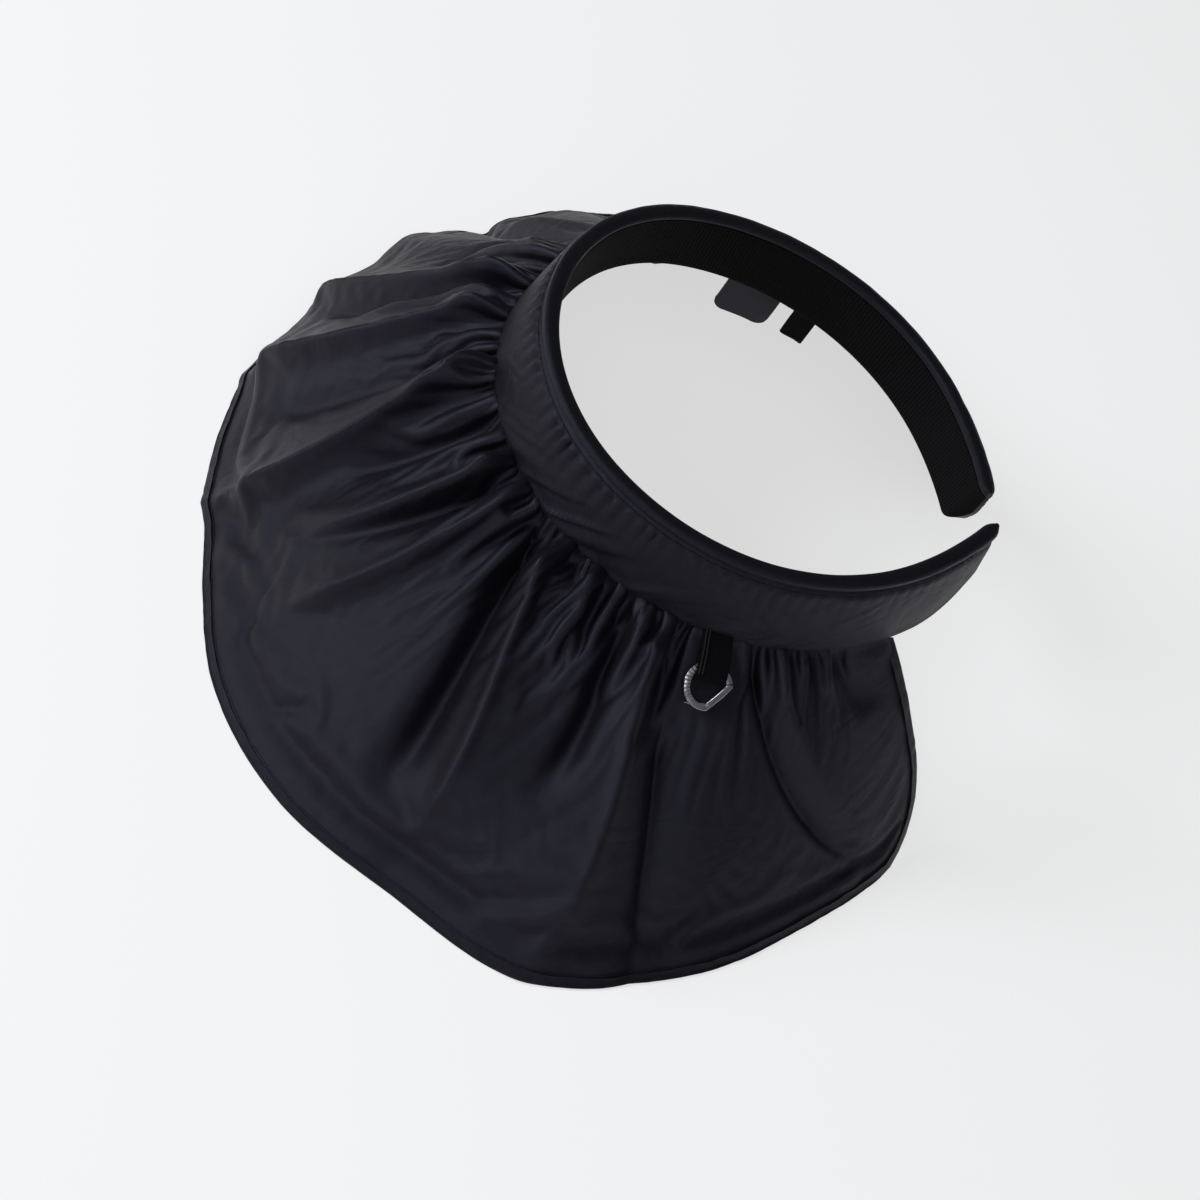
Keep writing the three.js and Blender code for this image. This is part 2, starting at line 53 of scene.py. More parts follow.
# Sizes of the hat, in millimetres. "along" is the distance round the hoop from the front middle,
# plus on the wearer's left. "out" and "up" start at the hoop's inner top edge.
MM = 0.001
HOOP_ARCS = [
    {"part": "forehead", "radius": 74.5, "length": 82},
    {"part": "temple", "radius": 99, "length": 59},
    {"part": "behind the ear", "radius": 88.5, "length": 64},
    {"part": "nape", "radius": 133, "length": 40.5},
]
hoop = SimpleNamespace(front=-91, half_depth=90, blend=24, end_rise=3.4, twist=8.7, step=0.1)
hoop_half = sum(arc["length"] for arc in HOOP_ARCS)
stand = SimpleNamespace(lean=math.atan(0.15), hoop_height=114.2, middle_x=-6.1, middle_y=30.3)

rim_size = SimpleNamespace(thick=5.9, inner_drop=3.3, outer_drop=2.6)
# The rim's rolled section and its small ripples, in millimetres.
rim_roll = SimpleNamespace(
    turn=15,
    squareness=0.75,
    roundness=0.8,
    overhang=0.15,
    middle_up=-1.6,
    crown=2.0,
    underside=1.5,
    girth=18,
    ripple=0.12,
    ripple_run=5.0,
    ripple_up=0.4,
    twist=0.08,
    twist_turn=40,
    twist_run=11,
)
lining_size = SimpleNamespace(height=25.6, wall=1.4, lean=0.098)
# The lining's inner face, its small dents, and how round its foot is.
lining_face = SimpleNamespace(rows=22, tuck=0.6, soft=0.25, soft_size=22, soft_from=0.15, foot_drop=0.6)
# The band's section. under_cut and inner_cut say where its hidden faces lie on the flat cloth.
band_size = SimpleNamespace(
    height=34,
    flare=5.3,
    foot=2.6,
    foot_drop=0.9,
    foot_turns=np.radians([25, 50, 75, 100, 130]),
    pad_below_lining=0.6,
    underside=0.62,
    underside_drop=0.95,
    inner_top=0.8,
    under_cut=6,
    inner_cut=8,
)
# The cloth over the padding: how it stands out from under the rim down to the foot.
band_face = SimpleNamespace(rows=33, under_rim=0.5, fuller=0.6, curve=0.62, tuck=0.4)
left_taper = SimpleNamespace(start=215, length=31.5)
right_taper = SimpleNamespace(start=236, length=10.5)
# At the far end the band's foot rises and lies flat, as seen between the hoop's ends.
far_foot = SimpleNamespace(start=195, run=45, rise=9)
far_flare = SimpleNamespace(start=207, run=34, less=0.85)
hoop_end = SimpleNamespace(round=5, thinnest=0.35, turns=[20, 38, 54, 68, 80, 90])
seat_gap = 0.3
# How many columns of points run along the hoop.
stations = SimpleNamespace(band=629, rim=480, lining=560)

brim_size = SimpleNamespace(
    half=208,
    cloth=0.8,
    seam_out=9.9,
    seam_drop=35.3,
    rise_at_seam=math.radians(9),
    fall_at_hem=math.radians(8),
    hem_drop=115,
    hem_half=478,
    seam_stretch=1.12,
    corner_radius=38,
    left_hem_bearing=math.radians(150.5),
    right_hem_bearing=math.radians(142),
)
# The brim's grid: angles of its round rear corners' points, how its rows crowd towards the seam,
# and the share of the binding's width by which the cloth ends short of the hem.
brim_net = SimpleNamespace(corner_turns=[12, 24, 36, 48, 60, 70, 80, 90], crowding=1.15, overlap=0.45)
binding_size = SimpleNamespace(
    width=4.5,
    wall=1.6,
    cloth=0.45,
    under_more=0.5,
    start=0.03,
    rear_steps=70,
    hem_steps=560,
    leg_steps=5,
    turn_steps=7,
)
# The binding's fine and broad puckers, uneven thickness and wandering lower edge. lift and thick
# are shares, the others millimetres.
binding_wander = SimpleNamespace(
    fine=0.22,
    fine_run=2.4,
    broad=0.2,
    broad_run=6.0,
    lift=0.5,
    thick=0.16,
    thick_run=3.0,
    edge=0.25,
    edge_run=4.0,
)

# How the brim's cloth is cut and drapes. spare is how much wider it is than the seam that it is
# gathered to, and fades over run. middle is its width to spare further down. furthest is how far
# it may move as it settles. least is the share of that which is left at the seam and the hem.
# On the far side, past far_from, it moves less, because it would show under the lining. tuck
# raises the seam's edge into the band's foot, and hem_calm flattens the folds at the hem.
drape = SimpleNamespace(
    spare=0.75,
    run=0.13,
    uneven=0.35,
    uneven_run=13,
    middle=0.004,
    middle_run=0.25,
    rear_calm=75,
    tuck=1.6,
    tuck_run=0.025,
    weight=0.004,
    anchor=0.0022,
    furthest=9,
    least=0.3,
    seam_run=0.12,
    hem_run=0.45,
    far_from=75,
    far_run=30,
    far_low=0.75,
    far_low_run=0.3,
    far_calm=0.8,
    hem_calm=0.75,
    hem_calm_from=0.7,
)
# Where the brim keeps its place as it settles: at the seam, the hem, the rear edges and the
# webbing loop. rear and loop are millimetres, the others shares of the way from seam to hem.
brim_hold = SimpleNamespace(
    seam=0.03,
    hem=0.04,
    hem_run=0.07,
    rear=3.5,
    rear_run=8,
    loop=7,
    loop_run=6,
    loop_low=0.22,
    loop_low_run=0.1,
)

# How cloth settles. It finds its large folds on a coarse grid first, then smaller ones on finer
# grids. carry is the share of its speed that a point keeps, shake the random start in millimetres
# and step the share of a thread's fault that is mended at once. Each thread joins points that
# many rows and columns apart, and says how strongly it pulls when it is too long and pushes when
# it is too short.
settling = SimpleNamespace(
    levels=[{"stride": 4, "rounds": 350}, {"stride": 2, "rounds": 180}, {"stride": 1, "rounds": 110}],
    carry=0.9,
    shake=0.12,
    step=0.25,
    threads=[
        {"rows": 0, "columns": 1, "pull": 1.0, "push": 1.0},
        {"rows": 1, "columns": 0, "pull": 1.0, "push": 1.0},
        {"rows": 1, "columns": 1, "pull": 0.35, "push": 0.35},
        {"rows": 1, "columns": -1, "pull": 0.35, "push": 0.35},
        {"rows": 0, "columns": 2, "pull": 0.0, "push": 0.3},
        {"rows": 2, "columns": 0, "pull": 0.0, "push": 0.6},
        {"rows": 0, "columns": 4, "pull": 0.0, "push": 0.06},
    ],
)

# How far the hem reaches from the hoop's centre, by the bearing from the front in degrees.
HEM_REACH = [
    {"bearing": -165, "reach": 132},
    {"bearing": -141, "reach": 149},
    {"bearing": -125, "reach": 160},
    {"bearing": -110, "reach": 174},
    {"bearing": -92, "reach": 187.4},
    {"bearing": -75, "reach": 189},
    {"bearing": -60, "reach": 185},
    {"bearing": -45, "reach": 181},
    {"bearing": -32, "reach": 174},
    {"bearing": -15, "reach": 173},
    {"bearing": 0, "reach": 175},
    {"bearing": 20, "reach": 175},
    {"bearing": 32, "reach": 180},
    {"bearing": 45, "reach": 189},
    {"bearing": 60, "reach": 194},
    {"bearing": 75, "reach": 193},
    {"bearing": 92, "reach": 199},
    {"bearing": 110, "reach": 181},
    {"bearing": 125, "reach": 163},
    {"bearing": 141, "reach": 151},
    {"bearing": 165, "reach": 134},
]


def fold(line, reach, width, rise, sharp=0):
    """One fold of the brim. line holds the places along the hoop where it starts, is half way and
    ends, and reach its start and end as shares of the way from seam to hem. sharp makes one side
    of it steeper."""
    seam, middle, hem = line
    start, end = reach
    return {
        "seam": seam,
        "middle": middle,
        "hem": hem,
        "start": start,
        "end": end,
        "width": width,
        "rise": rise,
        "sharp": sharp,
    }


FOLDS = {
    "farther lobe": fold((-80, -86, -96), (0.02, 1), width=14, rise=3.5),
    "far lobe dip": fold((-60, -63, -77), (0.02, 1), width=8, rise=-8),
    "far lobe": fold((-44, -46, -58), (0.02, 1), width=15, rise=5),
    "long right ridge": fold((-22, -21, -32), (0.01, 1), width=10, rise=9.5, sharp=0.5),
    "valley under it": fold((-15, -14, -18), (0.02, 0.8), width=6, rise=-4.5),
    "short upper ridge": fold((-8, -11, -8), (0.02, 0.55), width=6, rise=4, sharp=0.3),
    "front ridge": fold((-5, 0, -6), (0.01, 1), width=10, rise=10.5, sharp=0.5),
    "front valley": fold((13, 14, 10), (0.02, 0.9), width=9, rise=-5),
    "strong left ridge": fold((18, 31, 27), (0, 1), width=10, rise=12.5, sharp=0.55),
    "valley beside it": fold((40, 38, 37), (0.02, 0.5), width=7, rise=-5),
    "temple ridge": fold((54, 52, 43), (0, 0.75), width=8, rise=8, sharp=0.4),
    "temple valley": fold((61, 54, 42), (0.05, 0.75), width=6, rise=-4),
    "second temple ridge": fold((67, 65, 58), (0, 0.8), width=8, rise=7, sharp=0.4),
    "shadowed crease": fold((76, 92, 97), (0.01, 0.85), width=7, rise=-8),
    "lit ridge beside it": fold((84, 102, 106), (0.02, 0.9), width=9, rise=8.5, sharp=-0.6),
    "gather behind it": fold((100, 105, 110), (0, 0.3), width=5, rise=4),
    "curved valley": fold((112, 120, 118), (0.01, 0.6), width=6, rise=-5),
    "side column": fold((124, 132, 130), (0.01, 1), width=11, rise=7.5, sharp=0.4),
    "side crease": fold((131, 141, 145), (0.04, 1), width=7, rise=-7.5, sharp=-0.4),
    "valley after the tab": fold((157, 170, 190), (0.03, 0.92), width=5, rise=-5, sharp=-0.4),
    "ridge after the tab": fold((163, 180, 198), (0.03, 1), width=16, rise=2.4, sharp=-0.6),
    "soft rear dip": fold((186, 190, 196), (0.03, 0.3), width=12, rise=-2.5),
}
# The side that the photo hides has the same folds from start on, moved back and lower.
mirrored = SimpleNamespace(start=64, shift=5, share=0.7)
# A fold's section and how it widens, and the shares of its line over which it runs in and out.
fold_shape = SimpleNamespace(
    crest=1.2,
    round_crest=2,
    steep=1.5,
    width=0.55,
    widening=0.5,
    run_in=0.12,
    run_in_start=0.2,
    run_out=0.35,
    overrun=1.1,
)
# The ranges from which each small gather at the seam is drawn, in the order of the draws.
gather_draw = SimpleNamespace(
    first=4,
    last=3,
    start=-0.06,
    reach=(0.1, 0.42),
    middle=(-1.5, 1.5),
    hem=(-4, 4),
    width=(3.4, 5.2),
    rise=(1.3, 3.2),
    sharp=(-0.4, 0.4),
    pitch=(5.2, 9.5),
)
# The folds run out over these widths: millimetres at the rear edges, and a share at the seam.
rear_calm = 12
seam_calm = SimpleNamespace(run=0.05, start=0.15)
# The lobes on the far side keep their folds at the hem.
far_lobes = SimpleNamespace(back=-100, back_run=15, front=-30, front_run=20)
# The far side is fuller and turns under at the hem, which hides its binding from the front.
far_bulge = SimpleNamespace(start=34, run=46, end=-100, end_run=50, top=0.78, rise=5)

# The spare cloth over the band's padding: how much wider it is cut under the rim and at the foot,
# how much higher, its slant, and where along the hoop most of it lies. Only the lower part may
# move, past held and over held_run.
puff = SimpleNamespace(
    top=0.08,
    top_run=0.22,
    foot=0.035,
    foot_run=0.12,
    height=1.008,
    slant=0.02,
    slant_run=30,
    middle_at=65,
    spread=105,
    anchor=0.01,
    furthest=1.2,
    held=0.25,
    held_run=0.1,
    foot_held=0.05,
    ends_held=12,
)
# The band's seams and wrinkles, in millimetres: the groove under the rim and the one at its
# stitches, the puckers below them, slanting drag lines and broad soft dents.
wrinkle = SimpleNamespace(
    rim_groove=1.4,
    rim_groove_width=1.0,
    stitch_drop=2.6,
    stitch_groove=0.9,
    stitch_groove_width=0.8,
    pucker=4.4,
    pucker_pitch=5.2,
    pucker_level=0.6,
    pucker_wander=1.6,
    pucker_wander_run=14,
    pucker_least=0.6,
    pucker_uneven=0.4,
    pucker_uneven_run=9,
    pucker_fade=5.5,
    pucker_start=1.6,
    diagonal=2.1,
    diagonal_slope=0.7,
    diagonal_run=5.0,
    diagonal_level=0.5,
    patch=30,
    patch_level=0.2,
    broad=0.5,
    broad_size=11,
    top_run=0.2,
    foot_run=0.1,
)

# Stitches along the hem and under the rim. Lengths and pitch are shares of the stitch pitch.
stitches = SimpleNamespace(
    points=900,
    hem_share=0.985,
    from_binding=0.7,
    hem_length=0.7,
    hem_thick=0.34,
    from_end=8,
    pressed=0.4,
    rim_pitch=0.85,
    rim_length=0.55,
    rim_thick=0.36,
)

# The webbing loop, the ring in it and the label and ribbon inside, in millimetres.
tab = SimpleNamespace(along=144.5, centre=-0.5, width=11.2, top=-1.5, length=17.6, wall=1.0, edge=0.3)
# How its legs lie: their gaps to the cloth, to the ring and to each other, the drops between which
# the front leg sinks, and the bow across them.
tab_lie = SimpleNamespace(over=0.4, top_over=0.15, high=5, high_lift=0.5, low=9, bow=0.12)
# The two rows of raised threads down its front leg.
tab_rib = SimpleNamespace(places=(0.9, 2.1), lift=0.1, pitch=1.0, length=1.15, thick=0.75, sink=0.2)
# The folds leave the loop room up to start beside it and down_start below it.
tab_calm = SimpleNamespace(start=9, full=15, down_start=0.24, down_full=0.36)
ring = SimpleNamespace(
    centre=-0.5,
    drop=19,
    radius=7.5,
    face=2.3,
    thick=1.6,
    bar_from=80,
    bar_to=352,
    bow_steps=61,
    bar_steps=20,
    edge=0.42,
    gap=0.2,
)
label = SimpleNamespace(along=-114, width=23, length=18, wall=0.4, corner=5)
loop_tab = SimpleNamespace(along=-137, width=10, length=14, wall=0.9, corner=0.8)
# How far hanging cloth is tucked up behind the lining, and how it waves.
hanging = SimpleNamespace(tuck=2, wave=0.35, across=5, down=3)


# How many random values the noise along a line and over a surface are drawn from.
NOISE_LENGTH = 4096
NOISE_TILE = 256


def smooth(share):
    """An S-shaped step from 0 to 1."""
    t = np.clip(share, 0, 1)
    return t * t * (3 - 2 * t)


def wander(place, spacing, seed):
    """Smooth seeded noise along a line, from -1 to 1, with a new value every spacing."""
    values = np.random.default_rng(seed).uniform(-1, 1, NOISE_LENGTH)
    t = np.asarray(place, float) / spacing + NOISE_LENGTH // 2
    before = np.floor(t).astype(int)
    share = smooth(t - before)
    return values[before] * (1 - share) + values[before + 1] * share


def cloudy(across, down, size, seed):
    """Smooth seeded noise over a surface, from -1 to 1, with cells of that size."""
    tile = NOISE_TILE
    values = np.random.default_rng(seed).uniform(-1, 1, (tile, tile))
    x = np.asarray(across, float) / size + tile // 2
    y = np.asarray(down, float) / size + tile // 2
    col = np.floor(x).astype(int)
    row = np.floor(y).astype(int)
    sx = smooth(x - col)
    sy = smooth(y - row)
    near = values[row % tile, col % tile] * (1 - sx) + values[row % tile, (col + 1) % tile] * sx
    far = values[(row + 1) % tile, col % tile] * (1 - sx) + values[(row + 1) % tile, (col + 1) % tile] * sx
    return near * (1 - sy) + far * sy


def trace_hoop():
    """The hoop's inner edge as rows of along, x, y and the direction out of the hoop."""
    rows = []
    heading = 0.0
    x, y = 0.0, float(hoop.front)
    for along in np.arange(0, hoop_half + hoop.step, hoop.step):
        rows.append((along, x, y, math.sin(heading), -math.cos(heading)))
        bend = 1 / HOOP_ARCS[0]["radius"]
        joint = 0
        for before, arc in zip(HOOP_ARCS, HOOP_ARCS[1:]):
            joint += before["length"]
            share = float(smooth((along - joint) / hoop.blend + 0.5))
            bend = bend * (1 - share) + share / arc["radius"]
        heading += bend * hoop.step
        x += math.cos(heading - bend * hoop.step / 2) * hoop.step
        y += math.sin(heading - bend * hoop.step / 2) * hoop.step
    return np.array(rows)


hoop_line = trace_hoop()


def on_hat(along, out, up):
    """Points of the hat in its own frame, before it is stood on its hem."""
    along, out, up = np.broadcast_arrays(*(np.asarray(value, float) for value in (along, out, up)))
    side = np.where(along < 0, -1.0, 1.0)
    steps = hoop_line[:, 0]
    x, y, out_x, out_y = (np.interp(np.abs(along), steps, column) for column in hoop_line.T[1:])
    back = (y + hoop.half_depth) / (2 * hoop.half_depth)
    rise = hoop.end_rise * (y / hoop.half_depth) ** 2 + hoop.twist * side * back**2
    return np.stack([side * (x + out * out_x), y + out * out_y, up + rise], axis=-1)


def stood(points):
    """Stands points of the hat on the floor: the hoop's plane leans back over the level hem."""
    x, y, z = np.moveaxis(points, -1, 0)
    z = z + stand.hoop_height
    turned_y = y * math.cos(stand.lean) + z * math.sin(stand.lean)
    turned_z = z * math.cos(stand.lean) - y * math.sin(stand.lean)
    return np.stack([x + stand.middle_x, turned_y + stand.middle_y, turned_z], axis=-1)


def unit(vectors):
    return vectors / np.linalg.norm(vectors, axis=-1, keepdims=True)


def bearing_of(points):
    return np.arctan2(points[..., 0], -points[..., 1])


def seam_point(along):
    """Where the brim is sewn to the band."""
    return on_hat(along, brim_size.seam_out, -brim_size.seam_drop)


seam_bearing = bearing_of(seam_point(brim_size.half))


def reach_at(bearing):
    """The hem's reach at bearings in degrees, on a smooth curve through the table's rows."""
    at = np.array([row["bearing"] for row in HEM_REACH], float)
    reach = np.array([row["reach"] for row in HEM_REACH], float)
    slope = np.gradient(reach, at, edge_order=1)
    slope[1:-1] = (reach[2:] - reach[:-2]) / (at[2:] - at[:-2])
    row = np.clip(np.searchsorted(at, bearing, side="right") - 1, 0, len(at) - 2)
    span = at[row + 1] - at[row]
    t = (bearing - at[row]) / span
    return (
        (2 * t**3 - 3 * t**2 + 1) * reach[row]
        + (t**3 - 2 * t**2 + t) * slope[row] * span
        + (3 * t**2 - 2 * t**3) * reach[row + 1]
        + (t**3 - t**2) * slope[row + 1] * span
    )


def hem_point(along):
    """Where the hem lies below the same place of the hoop."""
    hem_bearing = np.where(along < 0, brim_size.right_hem_bearing, brim_size.left_hem_bearing)
    bearing = bearing_of(seam_point(along)) * hem_bearing / seam_bearing
    reach = reach_at(np.degrees(bearing))
    y = -reach * np.cos(bearing)
    z = y * math.tan(stand.lean) - brim_size.hem_drop
    return np.stack([reach * np.sin(bearing), y, z], axis=-1)


def meridian(along):
    """The straight length from the seam to the hem."""
    return np.linalg.norm(hem_point(along) - seam_point(along), axis=-1)


def smooth_sheet(along, down):
    """The brim without its folds, down from 0 at the seam to 1 at the hem."""
    along, down = np.broadcast_arrays(np.asarray(along, float), np.asarray(down, float))
    seam = seam_point(along)
    hem = hem_point(along)
    level = np.linalg.norm((hem - seam)[..., :2], axis=-1)
    length = np.linalg.norm(hem - seam, axis=-1)
    slope = np.arctan2(seam[..., 2] - hem[..., 2], level)
    ahead = (hem - seam)[..., :2] / level[..., None]

    def tangent(angle):
        flat = ahead * (np.cos(angle) * length)[..., None]
        return np.concatenate([flat, (-np.sin(angle) * length)[..., None]], axis=-1)

    t = down[..., None]
    return (
        seam * (2 * t**3 - 3 * t**2 + 1)
        + tangent(slope - brim_size.rise_at_seam) * (t**3 - 2 * t**2 + t)
        + hem * (3 * t**2 - 2 * t**3)
        + tangent(slope + brim_size.fall_at_hem) * (t**3 - t**2)
    )


def normal_of(surface, along, down, step_along=0.8, step_down=0.01):
    """The direction in which a surface faces."""
    across = surface(along + step_along, down) - surface(along - step_along, down)
    fall = surface(along, down + step_down) - surface(along, down - step_down)
    return unit(np.cross(fall, across))


def stretch_at(down):
    """How much wider the brim is than the seam line."""
    stretch = brim_size.seam_stretch
    return stretch + (brim_size.hem_half / brim_size.half - stretch) * down


def fold_height(row, along, down):
    """How far one fold lifts the cloth. Its line is a curve through its three places."""
    start, end = row["start"], row["end"]
    t = (down - start) / (end - start)
    line = row["seam"] * (1 - t) * (1 - 2 * t)
    line = line + row["middle"] * 4 * t * (1 - t) + row["hem"] * t * (2 * t - 1)
    spread = row["width"] * (fold_shape.width + fold_shape.widening * down)
    off = (along - line) * stretch_at(down) / spread
    off = off * (1 + row["sharp"] * np.tanh(off * fold_shape.steep))
    fade = smooth(t / fold_shape.run_in + fold_shape.run_in_start)
    if end < 1:
        fade = fade * smooth((1 - t) / fold_shape.run_out)
    crest = fold_shape.crest if row["sharp"] else fold_shape.round_crest
    height = row["rise"] * np.exp(-np.abs(off) ** crest) * fade
    return np.where((t > 0) & (t <= fold_shape.overrun), height, 0)


def mirrored_fold(row):
    """The same fold on the other side."""
    far = dict(row)
    for key in ("seam", "middle", "hem"):
        far[key] = -row[key] - mirrored.shift
    far["rise"] = row["rise"] * mirrored.share
    far["sharp"] = -row["sharp"]
    return far


NEAR_FOLDS = list(FOLDS.values())
ALL_FOLDS = NEAR_FOLDS + [mirrored_fold(row) for row in NEAR_FOLDS if row["seam"] > mirrored.start]


def make_gathers():
    """The small gathers at the seam, each with its own width, rise, length and lean."""
    draw = np.random.default_rng(11)
    rows = []
    along = -brim_size.half + gather_draw.first
    while along < brim_size.half - gather_draw.last:
        reach = (gather_draw.start, draw.uniform(*gather_draw.reach))
        middle = along + draw.uniform(*gather_draw.middle)
        hem = along + draw.uniform(*gather_draw.hem)
        width = draw.uniform(*gather_draw.width)
        rise = draw.uniform(*gather_draw.rise)
        sharp = draw.uniform(*gather_draw.sharp)
        rows.append(fold((along, middle, hem), reach, width, rise, sharp))
        along += draw.uniform(*gather_draw.pitch)
    return rows


GATHERS = make_gathers()


def bulge(along, down):
    """How far the fuller cloth on the far side stands off, over the hem."""
    aside = smooth((far_bulge.start - along) / far_bulge.run)
    aside = aside * smooth((along - far_bulge.end) / far_bulge.end_run)
    turn = smooth(down / far_bulge.top) * (1 - smooth((down - far_bulge.top) / (1 - far_bulge.top)))
    return far_bulge.rise * aside * turn


def ruffle(along, down):
    """How far the cloth stands off the smooth sheet."""
    along, down = np.broadcast_arrays(np.asarray(along, float), np.asarray(down, float))
    height = np.zeros(along.shape)
    for row in ALL_FOLDS + GATHERS:
        height += fold_height(row, along, down)
    beside = smooth((np.abs(along - tab.along) - tab_calm.start) / (tab_calm.full - tab_calm.start))
    below = smooth((down - tab_calm.down_start) / (tab_calm.down_full - tab_calm.down_start))
    rear = smooth((brim_size.half - np.abs(along)) / rear_calm)
    lobes = smooth((along - far_lobes.back) / far_lobes.back_run)
    lobes = lobes * smooth((far_lobes.front - along) / far_lobes.front_run)
    at_hem = smooth((down - drape.hem_calm_from) / (1 - drape.hem_calm_from))
    hem = 1 - drape.hem_calm * at_hem * (1 - lobes)
    seam = smooth(down / seam_calm.run + seam_calm.start)
    return height * seam * np.maximum(beside, below) * rear * hem + bulge(along, down)


def sheet(along, down):
    """The brim with its folds, before it settles."""
    return smooth_sheet(along, down) + normal_of(smooth_sheet, along, down) * ruffle(along, down)[..., None]


def place(across, down, inset):
    """Where a share across and down the brim lies, as along and down, with its round rear corners."""
    corner = brim_size.corner_radius - inset
    past = np.abs(across) * (brim_size.hem_half - inset) - (brim_size.hem_half - brim_size.corner_radius)
    past = np.maximum(0, past)
    cut = inset + corner - np.sqrt(np.maximum(0, corner**2 - past**2))
    low = down * (1 - cut / meridian(across * brim_size.half))
    return across * (brim_size.half - inset / stretch_at(low)), low


def face_point(across, down, inset, lift):
    """A point of the cloth on the floor's side or above it, lift millimetres off its middle."""
    along, low = place(across, down, inset)
    middle = sheet(along, low)
    lifted = stood(middle + normal_of(sheet, along, low) * np.asarray(lift, float)[..., None])
    level = brim_size.cloth / 2
    raised = np.maximum(0, level - stood(middle)[..., 2])
    lifted[..., 2] = np.maximum(0, lifted[..., 2] + raised)
    return lifted


def over_brim(aside, drop, lift):
    """A place over the calm cloth at the webbing loop: aside to the rear, drop down from the seam."""
    aside, drop, lift = np.broadcast_arrays(*(np.asarray(v, float) for v in (aside, drop, lift)))
    down = drop / meridian(tab.along)
    along = tab.along + aside / stretch_at(down)
    return stood(smooth_sheet(along, down) + normal_of(smooth_sheet, along, down) * lift[..., None])


def band_share(along):
    """How much of the band's height and flare is left as it tapers to its ends."""
    left = np.maximum(0, along - left_taper.start) / left_taper.length
    right = np.maximum(0, -along - right_taper.start) / right_taper.length
    return np.sqrt(np.maximum(0, 1 - left**2 - right**2))


def band_flare(along):
    """How far the band's foot stands out, less at the far end, which is flat."""
    return band_size.flare * (1 - far_flare.less * smooth((-along - far_flare.start) / far_flare.run))


def end_share(along):
    """How much of the wall's thickness is left at the hoop's round ends."""
    past = np.maximum(0, np.abs(along) - (hoop_half - hoop_end.round)) / hoop_end.round
    return np.maximum(hoop_end.thinnest, np.sqrt(np.maximum(0, 1 - past * past)))


def hoop_stations(count):
    """Places along the hoop, closer together where its ends round off."""
    straight = np.linspace(-hoop_half + hoop_end.round, hoop_half - hoop_end.round, count)
    turn = np.sin(np.radians(hoop_end.turns))
    end = hoop_half - hoop_end.round + hoop_end.round * turn
    return np.concatenate([-end[::-1], straight, end])


def hoop_surface(along, out, up):
    """Points round the hoop, drawn in towards the wall's middle at its ends."""
    middle = rim_size.thick / 2
    return stood(on_hat(along, middle + (out - middle) * end_share(along), up))


# Meshes.


def deselect_all():
    for obj in bpy.context.selected_objects:
        obj.select_set(False)


def make_active(obj):
    deselect_all()
    obj.select_set(True)
    bpy.context.view_layer.objects.active = obj


def set_points(data, points):
    """Moves a mesh's points, in millimetres."""
    data.vertices.foreach_set("co", (points.reshape(-1, 3) * MM).astype(np.float32).ravel())
    data.update()


def set_cut(data, cut):
    """Keeps where each point lies on the flat cloth, in metres, as the UV map named cloth."""
    layer = data.uv_layers[0]
    layer.name = "cloth"
    corners = np.zeros(len(data.loops), np.int32)
    data.loops.foreach_get("vertex_index", corners)
    layer.data.foreach_set("uv", cut.reshape(-1, 2)[corners].astype(np.float32).ravel())


def grid_piece(name, points, cut=None):
    """A grid primitive bent to an array of points in millimetres, rows by columns, with its cut."""
    rows, columns = points.shape[:2]
    deselect_all()
    bpy.ops.mesh.primitive_grid_add(x_subdivisions=columns - 1, y_subdivisions=rows - 1, size=1)
    obj = bpy.context.active_object
    obj.name = obj.data.name = name
    set_points(obj.data, points)
    if cut is not None:
        set_cut(obj.data, cut)
    return obj


def wrap_closed(obj, capped=True):
    """Merges a wrapped grid's first and last columns, and fills its two open ends."""
    make_active(obj)
    bpy.ops.object.mode_set(mode="EDIT")
    bpy.ops.mesh.select_all(action="SELECT")
    bpy.ops.mesh.remove_doubles(threshold=1e-6)
    if capped:
        bpy.ops.mesh.select_all(action="DESELECT")
        bpy.ops.mesh.select_mode(type="EDGE")
        bpy.ops.mesh.select_non_manifold(extend=False)
        bpy.ops.mesh.edge_face_add()
    bpy.ops.mesh.select_all(action="SELECT")
    bpy.ops.mesh.normals_make_consistent(inside=False)
    bpy.ops.object.mode_set(mode="OBJECT")
    return obj


def apply_modifier(obj, kind, name, **settings):
    make_active(obj)
    modifier = obj.modifiers.new(name, kind)
    for key, value in settings.items():
        setattr(modifier, key, value)
    bpy.ops.object.modifier_apply(modifier=modifier.name)


def thicken(obj, thickness, **settings):
    """Gives a sheet its thickness, half to each side."""
    apply_modifier(obj, "SOLIDIFY", "cloth", thickness=thickness, offset=0, **settings)


def round_edges(obj, width, segments, angle):
    """Rounds the edges that are sharper than an angle in degrees."""
    limits = {"limit_method": "ANGLE", "angle_limit": math.radians(angle)}
    apply_modifier(obj, "BEVEL", "round edges", width=width * MM, segments=segments, **limits)


def shade(obj, degrees=180):
    make_active(obj)
    if degrees >= 180:
        bpy.ops.object.shade_smooth()
    else:
        bpy.ops.object.shade_smooth_by_angle(angle=math.radians(degrees))


def keep_on_floor(obj):
    """Raises what lies under the floor to its level."""
    for vertex in obj.data.vertices:
        vertex.co.z = max(0.0, vertex.co.z)


def finish_piece(obj, material, slot, *nodes):
    """Gives a piece its material and body, and hides the CAD nodes that it stands for. slot is not used."""
    obj.data.materials.clear()
    obj.data.materials.append(material)
    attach(obj, "root")
    if nodes:
        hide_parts(*nodes)
    return obj


